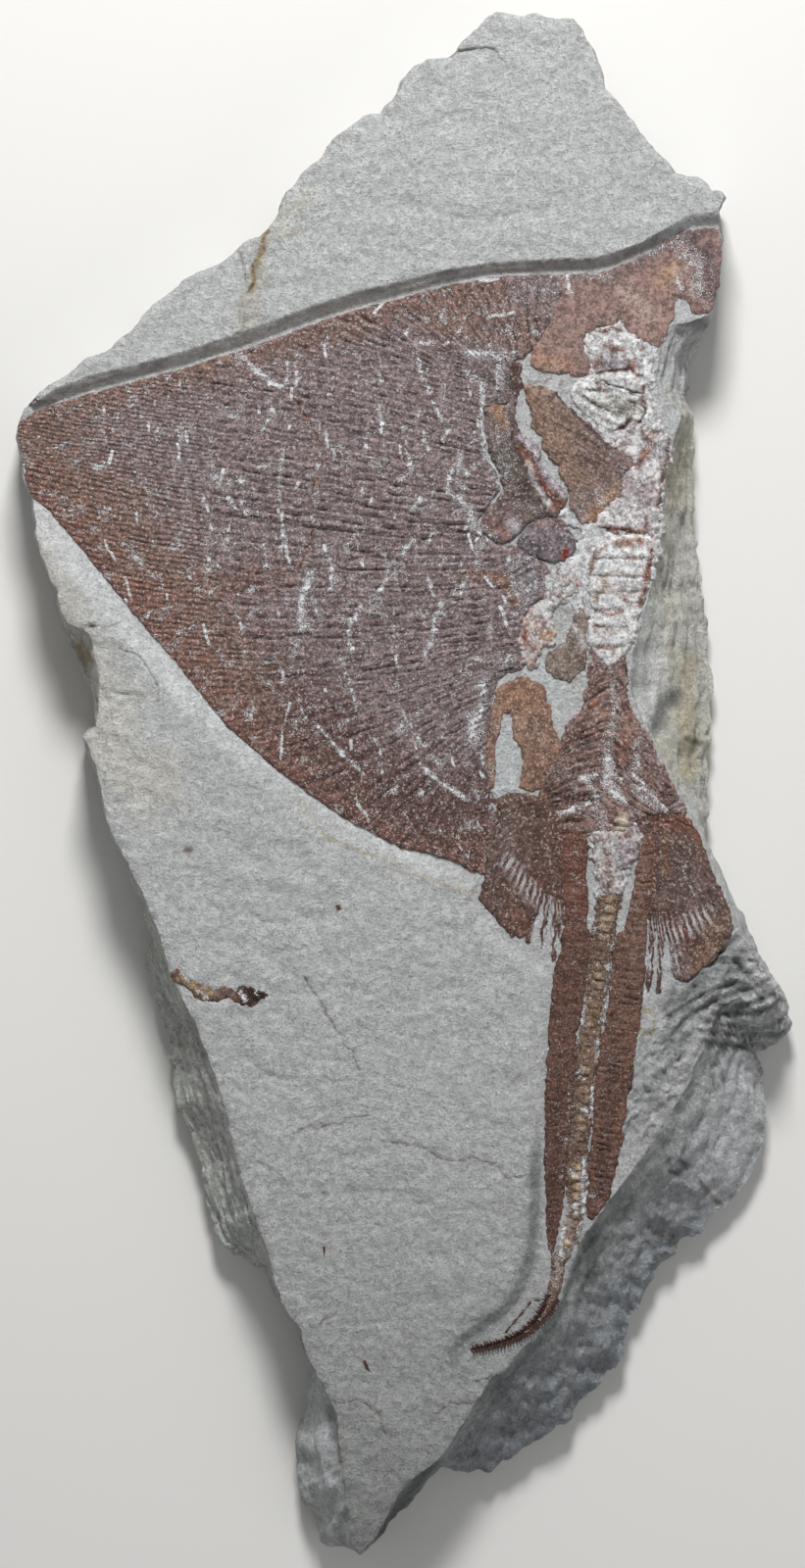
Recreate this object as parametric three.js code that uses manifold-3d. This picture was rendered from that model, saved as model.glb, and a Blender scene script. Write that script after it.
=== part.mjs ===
// A fossil ray on its slab of marly limestone, lying face up. Millimetres, +Z up out of the fossil face,
// +Y along the slab towards its pointed top, origin under the middle of the slab, on the flat underside.
import * as THREE from 'three';
import { mergeVertices } from 'three/addons/utils/BufferGeometryUtils.js';
import Module from 'manifold-3d';

// Driving dimensions
const FACE_Z = 32.6;          // height of the bare stone face at the origin
const FACE_RISE = 0.007;      // the stone face rises this much per millimetre towards +Y
const RIM_Z = 8;              // height of the outermost broken edge
const STEEP_MID_Z = 21;       // height half way up a steep broken side
const STEEP_MID_INSET = 0.5;  // how far a steep side leans in at that height
const STEEP_INSET = 1.1;      // and at the stone face
const FLANK_MID = 0.45;       // where a broad flank has its middle line, from the face to the rim
const FOOT_SCALE = 0.985;     // the underside against the rim
const FLOOR_Z = 30;           // floor of the prepared pocket, the level the ray lies on
const LIP_Z = 34.4;           // top of the pocket's cutter, above the stone face
const SEAT = 0.3;             // clearance under every film
const FILM = 0.8;             // thickness of the skin films
const CRUST = 1.2;            // thickness of the crusted and cartilage pieces
const WHIP = 1.4;             // thickness of the thorny tail end

// The broken edge, clockwise from the top: [rim x, rim y] where the side is steep, and
// [rim x, rim y, face x, face y, middle height] where a broad flank runs down from the face.
const EDGE = [
  [29, 247.2], [37, 245.8], [42, 246.6], [48, 244.7], [54, 245], [58, 240], [63.5, 228.5], [64.3, 223],
  [70, 216], [80, 203], [86.8, 195.2], [93.5, 194.2], [96.5, 192.4], [98, 190], [100.3, 190],
  [103, 187.3], [101, 183], [101.8, 174], [100.8, 160], [99.5, 152],
  // below the corner of the snout the stone slopes down to the right
  [98.3, 148.5, 96.6, 149.6, 26], [96.5, 145, 91, 147.5, 25], [95, 139.5, 85, 146, 25],
  [92, 134, 82, 140, 26], [91, 127.5, 80.5, 132, 26], [90.2, 123.5, 80, 127, 26],
  // the yellowish lower bench beside the trunk
  [92.5, 119.5, 88.5, 118, 20], [93, 110, 86.3, 111, 19], [92.6, 98, 83.2, 99, 17],
  [93.8, 78, 81.3, 79, 16], [95, 60, 78, 60, 16], [97.5, 52, 75, 51, 16], [97.5, 40, 72.5, 40, 16],
  [99.3, 31, 71.8, 31, 16], [98.5, 20, 75.3, 20, 17], [97.5, 8, 81.3, 8.5, 18], [98, 2, 85.2, 1.5, 18],
  [97.2, -8, 90.6, -8.5, 20], [96.5, -16, 95, -16.5, 22],
  [99.5, -24.5, 97.8, -25.5, 24], [105.5, -36, 103.5, -37.2, 24], [110.8, -48, 107.8, -49.5, 24],
  // the layered bump and its corner
  [117, -61, 112, -56, 27], [123, -70, 113, -60, 28], [124.8, -77, 112, -64, 27],
  [122.8, -81, 108, -67.5, 24], [119, -83.5, 104, -69, 20], [114.3, -87, 100, -72, 18],
  // the broad lower flank on the right
  [114.5, -95, 96, -82, 15], [115.5, -105, 91, -94, 15], [115.5, -117, 87, -102, 14],
  [113, -123, 82, -109, 14], [108.5, -131, 78, -115.5, 14], [104.5, -136, 74, -121, 14],
  [98, -139.5, 70.5, -126.5, 13], [95, -144.5, 67, -130.5, 13], [91, -145, 64.8, -133.3, 13],
  [88.5, -148, 62.6, -136.5, 13], [87, -151.5, 60.4, -139.6, 13], [83, -154, 57.8, -142.8, 13],
  [79.5, -160, 55.3, -147.3, 13], [76.5, -165, 54, -151.5, 13], [74, -169.5, 52.4, -155.5, 13],
  [71, -174.5, 51.2, -160, 14], [71, -178, 50, -163.7, 14], [69.5, -184, 48.4, -166.8, 14],
  [67.5, -187.5, 46, -170.4, 14], [65, -188.8, 43.8, -173.2, 14], [62, -194.5, 41.2, -176.6, 14],
  [58, -198.5, 37.8, -180, 14], [52, -204.5, 34.5, -183.2, 14], [44, -210.5, 32, -187, 14],
  [37, -214.5, 28, -189.3, 14], [31, -219, 24.3, -195, 14], [26, -221, 20.3, -201.3, 14],
  [20, -222.2, 16.2, -207.8, 14], [16.5, -220.5, 13, -212.5, 15], [12, -219, 9.9, -216, 20],
  // the lowest point and the rounded lump left of it
  [8, -222.5, 4.8, -219.6, 20], [4, -228.5, 0, -224, 19], [0, -232, -2.8, -228.4, 19],
  [-4, -236, -5.8, -233.5, 20], [-7, -240.5, -8.3, -239, 22], [-10, -243.5, -11, -242.3, 22],
  [-14, -247.2, -14.6, -245.6, 22], [-20, -245, -17.5, -241, 21], [-24, -245, -18, -236, 20],
  [-26.5, -243.5, -18.5, -231.5, 20], [-27.5, -239, -19, -228, 21], [-29, -234, -19.3, -224.5, 22],
  [-31.5, -232, -19.7, -221, 23], [-33.5, -227, -20, -217.5, 23], [-34, -220, -20.5, -213.5, 23],
  [-35, -214, -21, -209, 23], [-34, -210.5, -21.3, -205, 22], [-32, -207, -21.8, -201.5, 21],
  [-32.3, -197, -24.3, -195.5, 20], [-31, -190, -27.5, -189.5, 20], [-32.3, -183, -30.5, -183, 20],
  [-34.3, -177.5, -32.8, -178, 20], [-34, -174, -32.8, -174.2, 20], [-37.5, -170.5], [-40, -166],
  // the grey weathered flank on the left
  [-43.5, -160, -42, -157.5, 20], [-46, -157, -42.8, -152.5, 19], [-50, -154.5, -44, -148.5, 18],
  [-55, -152, -45.6, -144, 17], [-60, -147.5, -47.8, -138.5, 17], [-63, -140, -50, -132, 17],
  [-64.5, -131, -52.3, -125, 17], [-66, -122, -54.3, -116.5, 17], [-69, -112, -56.5, -107, 17],
  [-73.5, -104, -58.6, -99.5, 17], [-75, -97, -60.5, -93, 17], [-76, -86, -63.6, -85, 17],
  [-78, -77, -66.5, -77, 17], [-80.5, -68, -70.7, -69, 18], [-83.5, -59, -74.8, -60.5, 18],
  [-83.5, -56.5, -76, -57, 18], [-82.5, -52, -77, -52, 19], [-82, -49, -78.3, -48.5, 20],
  [-84, -43, -80.5, -42.5, 20], [-87, -33, -84.8, -32.5, 20], [-90, -25, -88.6, -24.7, 21],
  [-93, -19], [-96, -12], [-97, -6.5], [-98, -2], [-99.5, 4], [-102, 11], [-103.5, 15],
  // the notch
  [-99.5, 18.5], [-100, 28, -97.5, 28.5, 22], [-102.3, 33, -97.5, 33, 22], [-104.3, 37, -98.5, 38, 21],
  [-106, 43, -99.5, 44, 20], [-108.5, 46, -101, 48.5, 20], [-109.7, 50.5, -107.5, 51.3, 22],
  [-111, 56], [-112, 61], [-114.5, 66.5], [-116.5, 71.5], [-119, 79.5], [-119, 84.5], [-120, 91],
  [-122.5, 97], [-123.5, 106], [-124.8, 112], [-124, 115.5], [-122, 120.3], [-117, 126],
  [-110, 130.3], [-102, 136], [-96, 138.5], [-91, 143], [-87, 146], [-84.5, 150], [-79, 155],
  [-75, 158], [-71, 161.5], [-66, 164], [-58, 167.5], [-54, 171], [-50, 174.7], [-47, 175.2],
  [-42, 180.5], [-37.5, 190], [-33, 195.5], [-28, 200], [-25, 204.5], [-20, 209], [-13.5, 213.5],
  [-7.5, 215], [-4, 219], [-0.9, 225.5], [3.5, 230], [7, 232], [13, 232.5], [16, 234], [19, 238.5],
  [24, 243],
];

// The prepared pocket, clockwise: [floor x, floor y, lip x, lip y]. Its wall is steep along the front
// of the wing and left of the tail, and a long bevel along the back of the wing.
const POCKET = [
  [-135, 121, -135, 124], [-117.5, 119.9, -118.5, 122.5], [-110, 122.3, -111.5, 127.3],
  [-100, 125.4, -101.5, 131.2], [-85, 129.6, -86.3, 134.6], [-70, 133.6, -71.5, 138.8],
  [-50, 139.9, -51.8, 145.2], [-30, 147.5, -32, 152.6], [-15, 152.3, -16.5, 157.6],
  [0, 156.1, -1.2, 161.2], [12, 159.5, 11, 164.2], [28, 162.6, 27, 167], [45, 163.4, 45, 168],
  [60, 163.8, 60, 168.3], [68, 165.8, 67, 170.2], [76, 169.6, 75, 173], [84, 174.2, 82, 177],
  [92, 177.9, 90.5, 182], [104, 179, 104, 183], [120, 179, 124, 184],
  // off the slab on the right
  [132, 100, 140, 100], [132, -90, 140, -92], [100, -150, 106, -156], [60, -170, 66, -176],
  [37, -192, 40, -199],
  // around the tail
  [31, -188.2, 31, -199], [24, -187.4, 20, -197], [18, -184.8, 8, -190], [16.5, -181, 6, -180],
  [19, -178.2, 10, -172], [24, -175, 17.5, -167], [30, -171.3, 22.5, -163.5],
  [35.5, -166.5, 26.5, -159], [39.5, -159, 29.5, -152.5], [41.5, -152, 32.5, -148],
  [42.6, -142, 33.5, -140], [43.4, -130, 33, -130], [43.8, -118, 34.5, -118],
  [43.8, -104, 34.5, -104], [44.6, -90, 34.5, -90], [45.5, -75, 35.5, -77], [46.2, -60, 36, -68],
  // below the left pelvic fin
  [39, -53.5, 33, -63], [31, -49.5, 25, -57], [24.5, -41, 19, -50], [22.5, -34.5, 16, -43],
  [24, -29.4, 14.5, -38.7],
  // the long bevel behind the wing
  [18, -27, 11.5, -37.5], [9, -23.9, 4, -34.5], [-2, -20.7, -6.5, -31], [-13, -14.9, -17, -25.5],
  [-25, -8, -31, -18], [-36, 0.1, -43, -9], [-47, 9.7, -55, 1.5], [-57, 18, -65.5, 10.5],
  [-65, 28, -73.5, 21], [-75, 40.6, -83, 33.5], [-85, 51.9, -93, 44.8], [-95, 64.6, -103.5, 57.5],
  [-105, 77.1, -113, 69.5], [-113, 86.4, -121, 78.5], [-119.3, 92.2, -124, 82], [-135, 97, -138, 90],
];

// Films and crusts: outline, clockwise, on the pocket's floor
const PECTORAL_FIN = [
  [-122.7, 115.2], [-118, 118.3], [-110, 121.2], [-100, 124.2], [-85, 128.2], [-70, 132.3],
  [-50, 138.6], [-30, 146.1], [-15, 151], [0, 154.8], [12, 158.2], [28, 161.3], [45, 162.2],
  [49.9, 162], [49.8, 157], [48, 151], [45, 146], [42.8, 142], [40.4, 138.7], [37.5, 136.2],
  [33.6, 134.6], [33.2, 129], [33.3, 124], [32.3, 121.6], [28.5, 121], [24.9, 120.4],
  // along the calcite seam beside the shoulder girdle
  [24.6, 114], [25.2, 109], [25, 104], [28.6, 99.6], [30, 94], [25.6, 88], [23.3, 85], [23.2, 80.4],
  [27.6, 76.8], [31, 75.6], [34, 76], [36.4, 75], [40.3, 72.7], [44, 70.7], [45.8, 67.8],
  [44.5, 64], [44.4, 59.4], [40.2, 57.3], [37.9, 52.5], [36.6, 47.4], [36.2, 44], [37.2, 41],
  [38.1, 38.2], [37, 36.6], [32, 35.4], [29.3, 33.4], [27.8, 28], [26.9, 22], [25.9, 15],
  [25.5, 9], [26.4, 0], [28, -4.6], [29.4, -8.5], [30.5, -11.6], [27.5, -14.3], [25.4, -16.4],
  [25, -22], [25, -28.4],
  // the trailing edge back to the tip
  [20.5, -27.3], [17, -24.7], [7, -21.8], [0, -20.3], [-4, -18.6], [-11, -14.9], [-20, -10],
  [-30, -3], [-40, 4.3], [-51, 14], [-56, 18.2], [-64, 28], [-73, 39.6], [-82, 49.3], [-91, 60.7],
  [-101, 73.2], [-109, 82.7], [-113, 87.3], [-118.4, 91.8], [-120.8, 98], [-121.8, 106], [-123.1, 111.8],
];
const SNOUT_SKIN = [
  [50.3, 162], [60, 162.2], [66, 163.2], [72, 165.8], [78, 169], [84, 172.8], [90, 176], [96, 176.7],
  [99.6, 176.2], [100.3, 172], [99.4, 160], [98, 153], [96, 150.8], [93, 150.3], [91, 152.5],
  [90.3, 154.8], [88, 155.7], [86, 155.7], [85.3, 153], [85, 149], [84, 146], [82.5, 142.5],
  [80.5, 140], [78.8, 140.2], [76, 142], [71, 144.6], [69.8, 149], [68, 148.8], [66.4, 146.7],
  [61, 145.7], [57.6, 143.8], [56.2, 141], [58, 136.5], [59, 133.2], [57.8, 130.9], [54.5, 130.4],
  [52, 131.4], [47, 131.5], [43.5, 132.2], [40.8, 133.7], [40.9, 137.8], [43.5, 141.8], [45.8, 145.8],
  [48.7, 151], [50.4, 157],
];
const JAW_CARTILAGES = [
  [58, 141.5], [60.5, 144.3], [64, 145], [67, 146.2], [70, 143.8], [74, 140.5], [75.3, 133],
  [76, 126], [76.6, 119], [74.3, 115.4], [70, 114], [66, 113.4], [62, 115], [57.3, 119], [54.3, 122.5],
  [53.4, 125.5], [55.4, 128], [59, 129.6], [60.2, 133], [59, 137],
];
const GILL_PATCH = [
  [37.4, 127], [42, 126.2], [47, 125.6], [49.6, 122.6], [51.5, 120], [55, 117], [60.3, 112.6],
  [65, 107.6], [69, 105.5], [71.8, 103.4], [73.4, 101.6], [69.9, 99.2], [69, 92], [65.5, 89.7],
  [62.4, 86.3], [60.4, 82.6], [57, 83.6], [54.3, 87], [52.6, 89], [53, 92], [52, 96], [49.4, 99.4],
  [49, 102], [46, 105], [44.1, 108], [43.6, 111], [41.3, 114], [40.6, 119], [39.4, 123],
];
const SHOULDER_GIRDLE = [
  [34, 134], [36.4, 133.6], [36.6, 127], [35, 123], [34.5, 117], [36, 112.5], [38.5, 109.5],
  [42, 107], [42.7, 105.3], [42, 103.3], [43.8, 100], [45.3, 97.5], [48.3, 95.4], [50.8, 93],
  [51.4, 91.5], [50.2, 89.8], [48.8, 87.5], [48.2, 86], [45, 85.4], [41, 84.9], [38.3, 83.4],
  [36.3, 81], [35, 78.8], [33.3, 77.6], [31, 76.9], [28.5, 77.9], [25.2, 80.6], [24.8, 83.5],
  [26.6, 87.2], [29.5, 90.6], [31.8, 92.4], [32.2, 95], [30.3, 100.4], [27.4, 104.6], [27.4, 108],
  [26.4, 112], [25.5, 119.7], [29, 120.2], [33.1, 120.7], [34, 123.5],
];
const SHOULDER_KNOB = [
  [36.6, 78], [38.5, 80.8], [41, 83.4], [45, 84.6], [48.6, 84.4], [51.2, 82.4], [53, 79],
  [54.3, 75.8], [52.3, 73.4], [50, 71.6], [46, 71.2], [42.5, 72.3], [38.6, 74.6], [36.8, 76],
];
const SHOULDER_CRUST = [
  [37.4, 46.8], [38.7, 52.3], [41, 56.6], [44.6, 58.4], [49, 62], [53, 65.5], [56, 64.4], [54.5, 61.6],
  [49.6, 59], [46.3, 55.5], [46, 51.5], [47, 48], [46.6, 45.3], [43.6, 43.6], [42.4, 41],
  [41.8, 38], [40.3, 36.9], [38.9, 38.6], [38.1, 41.5], [37.1, 44],
];
const NECK_CARTILAGE = [
  [66.4, 109.6], [70, 112.6], [75, 114.8], [80, 113], [83.2, 110], [84, 104.6], [82.2, 99],
  [80.7, 94.6], [80.5, 88], [80.2, 82], [78.6, 79.8], [75, 80.6], [70, 80.7], [64, 80.8],
  [61.4, 82.3], [63.4, 86], [66.3, 89.1], [70, 91.6], [70.8, 98.4], [74.8, 101.4], [72.8, 104],
  [69.4, 106.7],
];
const SPINE_BLOCKS = [
  [57.8, 71], [60, 75], [64, 77], [70, 78.6], [75.6, 78.4], [78.4, 76], [78, 71], [77, 64],
  [74.8, 57], [73.4, 52], [72, 46], [69.9, 42.2], [67, 39.7], [64.6, 38.6], [62.6, 40.4],
  [60.7, 43], [59.3, 46], [59, 50], [60.2, 54], [60, 60], [58.4, 66],
];
const BELLY_LOBE = [
  [54.2, 53.6], [57, 55.2], [58.3, 53.6], [58.4, 50], [57.6, 48.5], [57.7, 43.5], [57.8, 40],
  [57.3, 37], [55, 35], [52.5, 32.6], [50.5, 33], [47.5, 34.6], [45.6, 36.5], [44.8, 39],
  [45.6, 41.5], [48, 43], [51.5, 45], [52.6, 48],
];
const BELLY_SKIN = [
  [27.2, -1], [26.5, 4], [26.3, 9], [26.7, 14], [27.8, 20], [28.5, 26], [30, 30], [33, 32.5],
  [37, 33.7], [40.5, 32.5], [44.2, 31], [44.6, 27], [46, 22], [46.7, 17], [48.4, 14.4], [49, 11],
  [48.3, 7], [45.6, 6.3], [44, 3], [43.6, -1], [40, -1.8], [36.8, -0.8], [37.8, 3], [38.2, 8],
  [37, 12], [35.3, 15], [34.9, 20], [34, 23], [31, 23.2], [30.3, 19.5], [29.5, 16], [28.2, 12.5],
  [27.7, 8], [28.2, 4], [28, -0.5],
];
const TRUNK_RIBS = [
  [59.4, 42], [62.3, 39.2], [64.6, 37.7], [67.5, 38.7], [70, 40.8], [70.4, 36], [70.3, 30],
  [71, 25], [73.2, 21], [76, 16.5], [78.3, 12], [80.3, 8], [83, 3.3], [85.3, -1.8], [87.6, -5.5],
  [88.8, -8.8], [85, -9.1], [80, -9.2], [76, -10], [73.5, -12.5], [70, -14.4], [66, -14.9],
  [60, -15.5], [53, -15.5], [49.4, -15.2], [49, -10], [47.6, -6.2], [45.2, -3.3], [44.6, -1],
  [44.9, 2.5], [46, 5.3], [48.8, 6], [49.7, 11], [50.4, 14.6], [51.6, 17.6], [54, 20.4],
  [57, 23.2], [58, 26], [57.4, 28], [59, 32], [58.6, 38],
];
const LEFT_PELVIC_FIN = [
  [28.7, -4.7], [33, -3.2], [38, -3.1], [43.8, -4.2], [46.4, -6.6], [47.8, -10], [48.2, -14],
  [48.6, -19], [49.2, -25], [49.9, -31], [50.4, -35], [50.7, -40], [51, -45], [50.3, -45],
  [49.8, -40], [49.4, -36.5], [49.3, -42], [49.7, -50], [49, -50], [48.5, -42], [48.4, -36],
  [48, -46], [47.8, -56], [47.1, -56], [46.9, -46], [47, -35.5], [46.2, -35], [45.2, -43],
  [43.8, -52.5], [43.1, -52.5], [44.2, -43], [45, -34.7], [44.2, -34.5], [42.2, -41], [40.7, -46],
  [39.6, -50.2], [38.9, -50], [39, -47.8], [36.5, -48.5], [34, -48.4], [32, -46.5], [28.3, -42],
  [25.5, -39], [23.8, -36.6], [24.6, -33.5], [25.8, -30], [25.7, -25], [25.9, -20], [26.4, -16.8],
  [28.4, -14.6], [31.4, -12], [30.2, -8.5],
];
const RIGHT_PELVIC_FIN = [
  [76.7, -10.6], [80, -9.9], [85, -9.7], [89, -9.5], [91, -11.5], [93.2, -14.9], [95, -19.3],
  [96.3, -24], [98.6, -29], [101, -34.8], [102.8, -38.5], [104.2, -42], [104.4, -46.5],
  [102.9, -50], [100.8, -53], [97, -57.3], [93, -60], [90, -62.4], [87.5, -62.9], [85.6, -61],
  [84.9, -56], [84.3, -50], [83.6, -45.6], [82.9, -45.6], [82.4, -50], [81.8, -58], [81.1, -66],
  [80.4, -66], [80.7, -58], [81, -50], [80.8, -44.6], [79.7, -44.8], [79.5, -50], [78.9, -58],
  [77.8, -66], [77.1, -66], [77.6, -58], [78.2, -50], [78.1, -44.6], [77.7, -42], [78, -37],
  [79.5, -30], [80.2, -20], [77.9, -13.6],
];
const HIP_CRUST = [
  [60.5, -16.2], [66, -15.6], [70.3, -15.2], [73.3, -13.4], [75, -16.2], [74, -22.5], [71.5, -24],
  [69.4, -29], [68.6, -34], [66, -34.6], [63.4, -33.4], [62.3, -29], [60.7, -24], [60, -19.5],
];
const TAIL_SKIN_LEFT = [
  [49.8, -16.2], [57.4, -16.4], [58, -20], [57.4, -28], [57.9, -35], [58, -41], [57.6, -45],
  [59.2, -48], [58.9, -53], [58.3, -58], [57.2, -66], [56.3, -72], [55.9, -76], [54.2, -79],
  [54.6, -84], [54.2, -92], [53.8, -98], [53, -104], [52.7, -110], [51.8, -116], [51, -122],
  [50.6, -130], [50, -136], [49.2, -140], [48.3, -144], [47.6, -148], [46.6, -150.4], [45.9, -149],
  [45.4, -140], [45.1, -130], [44.8, -120], [44.7, -116], [45.3, -111], [44.9, -104], [45.1, -95],
  [45.6, -88], [46.2, -84], [46.3, -76], [47, -68], [47.5, -62], [48.5, -58], [50.2, -52.5],
  [50.3, -48], [51.4, -45.5], [51.3, -40], [51, -35], [50.4, -28],
];
const TAIL_SKIN_RIGHT = [
  [75.6, -14.2], [77, -13.4], [79.5, -20], [78.7, -30], [77.2, -37], [76.8, -43], [76.7, -50],
  [76, -58], [76, -63], [75.3, -70], [74.5, -76], [73.8, -82], [72.8, -88], [72, -94],
  [70.8, -100], [70, -106], [68.9, -109.5], [69.6, -112], [68.5, -116], [67.3, -121], [66, -126],
  [64.5, -132.2], [61.5, -136.4], [59.7, -138.6], [58.2, -138.4], [57.9, -134], [58.6, -130],
  [58.9, -126], [58.6, -120], [59.6, -115], [60.2, -108], [60.4, -100], [61, -92], [62.4, -86],
  [62.9, -81], [64.2, -76], [65.2, -70], [65.7, -62], [66.6, -54], [68.3, -48], [70.3, -46.5],
  [71.7, -40], [73.2, -33], [74.5, -25],
];
const FISH_SCRAP = [
  [-74, -60.6], [-72.3, -59.6], [-69.6, -61.4], [-66.8, -62.6], [-64.6, -64.4], [-61, -65.3],
  [-57.8, -64.6], [-54, -65.6], [-51, -64.4], [-48, -65], [-45, -66], [-43.2, -67.2], [-45, -68.7],
  [-47.6, -69.6], [-50, -71], [-53, -70], [-56, -68.8], [-60, -69.6], [-63, -69.3], [-66, -68.2],
  [-69, -66.2], [-71, -64.6], [-73.5, -62.8],
];
const CHIP_UPPER = [[-22.2, -38.6], [-20.6, -38.4], [-20.2, -39.6], [-21.6, -40.2]];
const CHIP_MIDDLE = [[-26.3, -147.4], [-25.3, -147.5], [-25.4, -149.2], [-25.7, -150.6], [-26, -149.2]];
const CHIP_LOWER = [[-13.6, -184], [-12.6, -183.6], [-11.6, -185.6], [-10.8, -187.6], [-12.4, -186.6]];

// The spine down the tail: [x, y, half width], one row for every third vertebra or so
const SPINE_PATH = [
  [64.6, -35.3, 2.9], [64.6, -42, 3], [63.4, -48, 3], [62.4, -55, 2.9], [61.4, -62, 2.8],
  [60.6, -69, 2.7], [59.8, -75, 2.6], [58.8, -81, 2.6], [58, -88, 2.5], [57.4, -95, 2.4],
  [57, -101, 2.3], [56.5, -107, 2.3], [55.8, -113, 2.3], [55, -119, 2.3], [54.6, -125, 2.3],
  [54.4, -131, 2.3], [54.1, -137, 2.2], [53.2, -142.5, 2], [51.6, -148, 1.6],
];
const CENTRUM = 3.05;         // length of one vertebra
const CENTRUM_HEIGHT = 1.3;   // how far the vertebrae stand out at their middle
const CENTRUM_WAIST = 0.72;   // size of the joint between two of them against their middle

// The whip from its broad crusted root to its tip, and the thread beside it: [x, y, half width]
const WHIP_PATH = [
  [49.2, -151, 2.3], [48.6, -156, 2], [47.6, -161, 2], [46.6, -165, 2], [44.6, -168.4, 1.7],
  [41.6, -172, 1.2], [38.6, -174.6, 0.9], [34.5, -176.8, 0.7], [30, -178.4, 0.55], [25, -179.7, 0.45],
  [21, -180.6, 0.4],
];
const THORNS = 24;            // pairs of thorns along the thin part of the whip
const THORN_START = 0.5;      // where they begin along the whip
const THORN_REACH = 0.75;     // how far they stand out
const THREAD_PATH = [
  [43.3, -164.7, 0.3], [41.3, -164.5, 0.35], [39.4, -166.1, 0.35], [37.4, -168.6, 0.35],
  [35.4, -171, 0.35], [33.5, -173, 0.3], [32.2, -174.8, 0.25],
];

const wasm = await Module();
wasm.setup();

const faceHeight = (y) => FACE_Z + FACE_RISE * y;

function material(color, roughness) {
  return new THREE.MeshStandardMaterial({ color, roughness, metalness: 0 });
}

// Closed body through rings of equal count, each turning left seen from the last one's side
function loft(rings, capOf) {
  const count = rings[0].length;
  const positions = rings.flat().flatMap((point) => point.toArray());
  const faces = [];
  for (let ring = 0; ring < rings.length - 1; ring += 1) {
    for (let i = 0; i < count; i += 1) {
      const next = (i + 1) % count;
      const [a, b] = [ring * count + i, ring * count + next];
      faces.push(a, b, b + count, a, b + count, a + count);
    }
  }
  const last = (rings.length - 1) * count;
  for (const [a, b, c] of capOf(rings[0])) {
    faces.push(c, b, a);
  }
  for (const [a, b, c] of capOf(rings.at(-1))) {
    faces.push(last + a, last + b, last + c);
  }
  const geometry = new THREE.BufferGeometry();
  geometry.setAttribute('position', new THREE.Float32BufferAttribute(positions, 3));
  geometry.setIndex(faces);
  return geometry;
}

// Caps: any level outline, or a fan over a rounded one
const levelCap = (ring) => THREE.ShapeUtils.triangulateShape(ring, []);
const fanCap = (ring) => ring.slice(2).map((point, i) => [0, i + 1, i + 2]);

function toManifold(geometry) {
  geometry.deleteAttribute('normal');
  geometry.deleteAttribute('uv');
  const merged = mergeVertices(geometry, 1e-4);
  return new wasm.Manifold(new wasm.Mesh({
    numProp: 3,
    vertProperties: new Float32Array(merged.attributes.position.array),
    triVerts: new Uint32Array(merged.index.array),
  }));
}

function cut(geometry, tool) {
  const mesh = toManifold(geometry).subtract(toManifold(tool)).getMesh();
  const result = new THREE.BufferGeometry();
  result.setAttribute('position', new THREE.Float32BufferAttribute(mesh.vertProperties, 3));
  result.setIndex(Array.from(mesh.triVerts));
  result.computeVertexNormals();
  return result;
}

// Unit vector square to the outline at corner i, pointing inwards on a left-turning outline
function inward(points, i) {
  const before = points[(i + points.length - 1) % points.length];
  const after = points[(i + 1) % points.length];
  return new THREE.Vector2(before.y - after.y, after.x - before.x).normalize();
}

function slabGeometry() {
  const rows = [...EDGE].reverse();
  const rim = rows.map(([x, y]) => new THREE.Vector2(x, y));
  const inset = (i, distance) => rim[i].clone().addScaledVector(inward(rim, i), distance);
  const face = rows.map(([, , x, y], i) => (x === undefined ? inset(i, STEEP_INSET) : new THREE.Vector2(x, y)));
  const middle = rows.map(([, , x], i) => (
    x === undefined ? inset(i, STEEP_MID_INSET) : face[i].clone().lerp(rim[i], FLANK_MID)
  ));
  return loft([
    rim.map(({ x, y }) => new THREE.Vector3(x * FOOT_SCALE, y * FOOT_SCALE, 0)),
    rim.map(({ x, y }) => new THREE.Vector3(x, y, RIM_Z)),
    middle.map(({ x, y }, i) => new THREE.Vector3(x, y, rows[i][4] ?? STEEP_MID_Z)),
    face.map(({ x, y }) => new THREE.Vector3(x, y, faceHeight(y))),
  ], levelCap);
}

function pocketGeometry() {
  const rows = [...POCKET].reverse();
  return loft([
    rows.map(([x, y]) => new THREE.Vector3(x, y, FLOOR_Z)),
    rows.map(([, , x, y]) => new THREE.Vector3(x, y, LIP_Z)),
  ], levelCap);
}

// A flat piece with its underside at height z
function plate(name, outline, thickness, z, look) {
  const shape = new THREE.Shape(outline.map(([x, y]) => new THREE.Vector2(x, y)));
  const geometry = new THREE.ExtrudeGeometry(shape, { depth: thickness, bevelEnabled: false });
  const mesh = new THREE.Mesh(geometry, look);
  mesh.name = name;
  mesh.position.z = z;
  return mesh;
}

// Smooth line through [x, y, half width] rows
function pathOf(rows) {
  return new THREE.CatmullRomCurve3(rows.map((row) => new THREE.Vector3(...row)));
}

// Point on a path, moved sideways by a share of its half width and a further reach
function beside(path, at, share, reach = 0) {
  const point = path.getPoint(at);
  const along = path.getTangent(at);
  const side = new THREE.Vector2(-along.y, along.x).normalize();
  const offset = share * point.z + reach * Math.sign(share);
  return [point.x + side.x * offset, point.y + side.y * offset];
}

// Outline of a ribbon along a path, smooth at first and toothed from the given start on
function ribbonOutline(path, steps, toothStart, teeth, reach) {
  const left = [];
  const right = [];
  const add = (at, extra) => {
    left.push(beside(path, at, 1, extra));
    right.push(beside(path, at, -1, extra));
  };
  for (let i = 0; i <= steps; i += 1) {
    add((toothStart * i) / steps, 0);
  }
  for (let i = 1; i <= teeth; i += 1) {
    const span = (1 - toothStart) / teeth;
    add(toothStart + span * (i - 0.5), reach * (1 - (0.5 * i) / teeth));
    add(toothStart + span * i, 0);
  }
  return [...left, ...right.reverse()];
}

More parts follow.
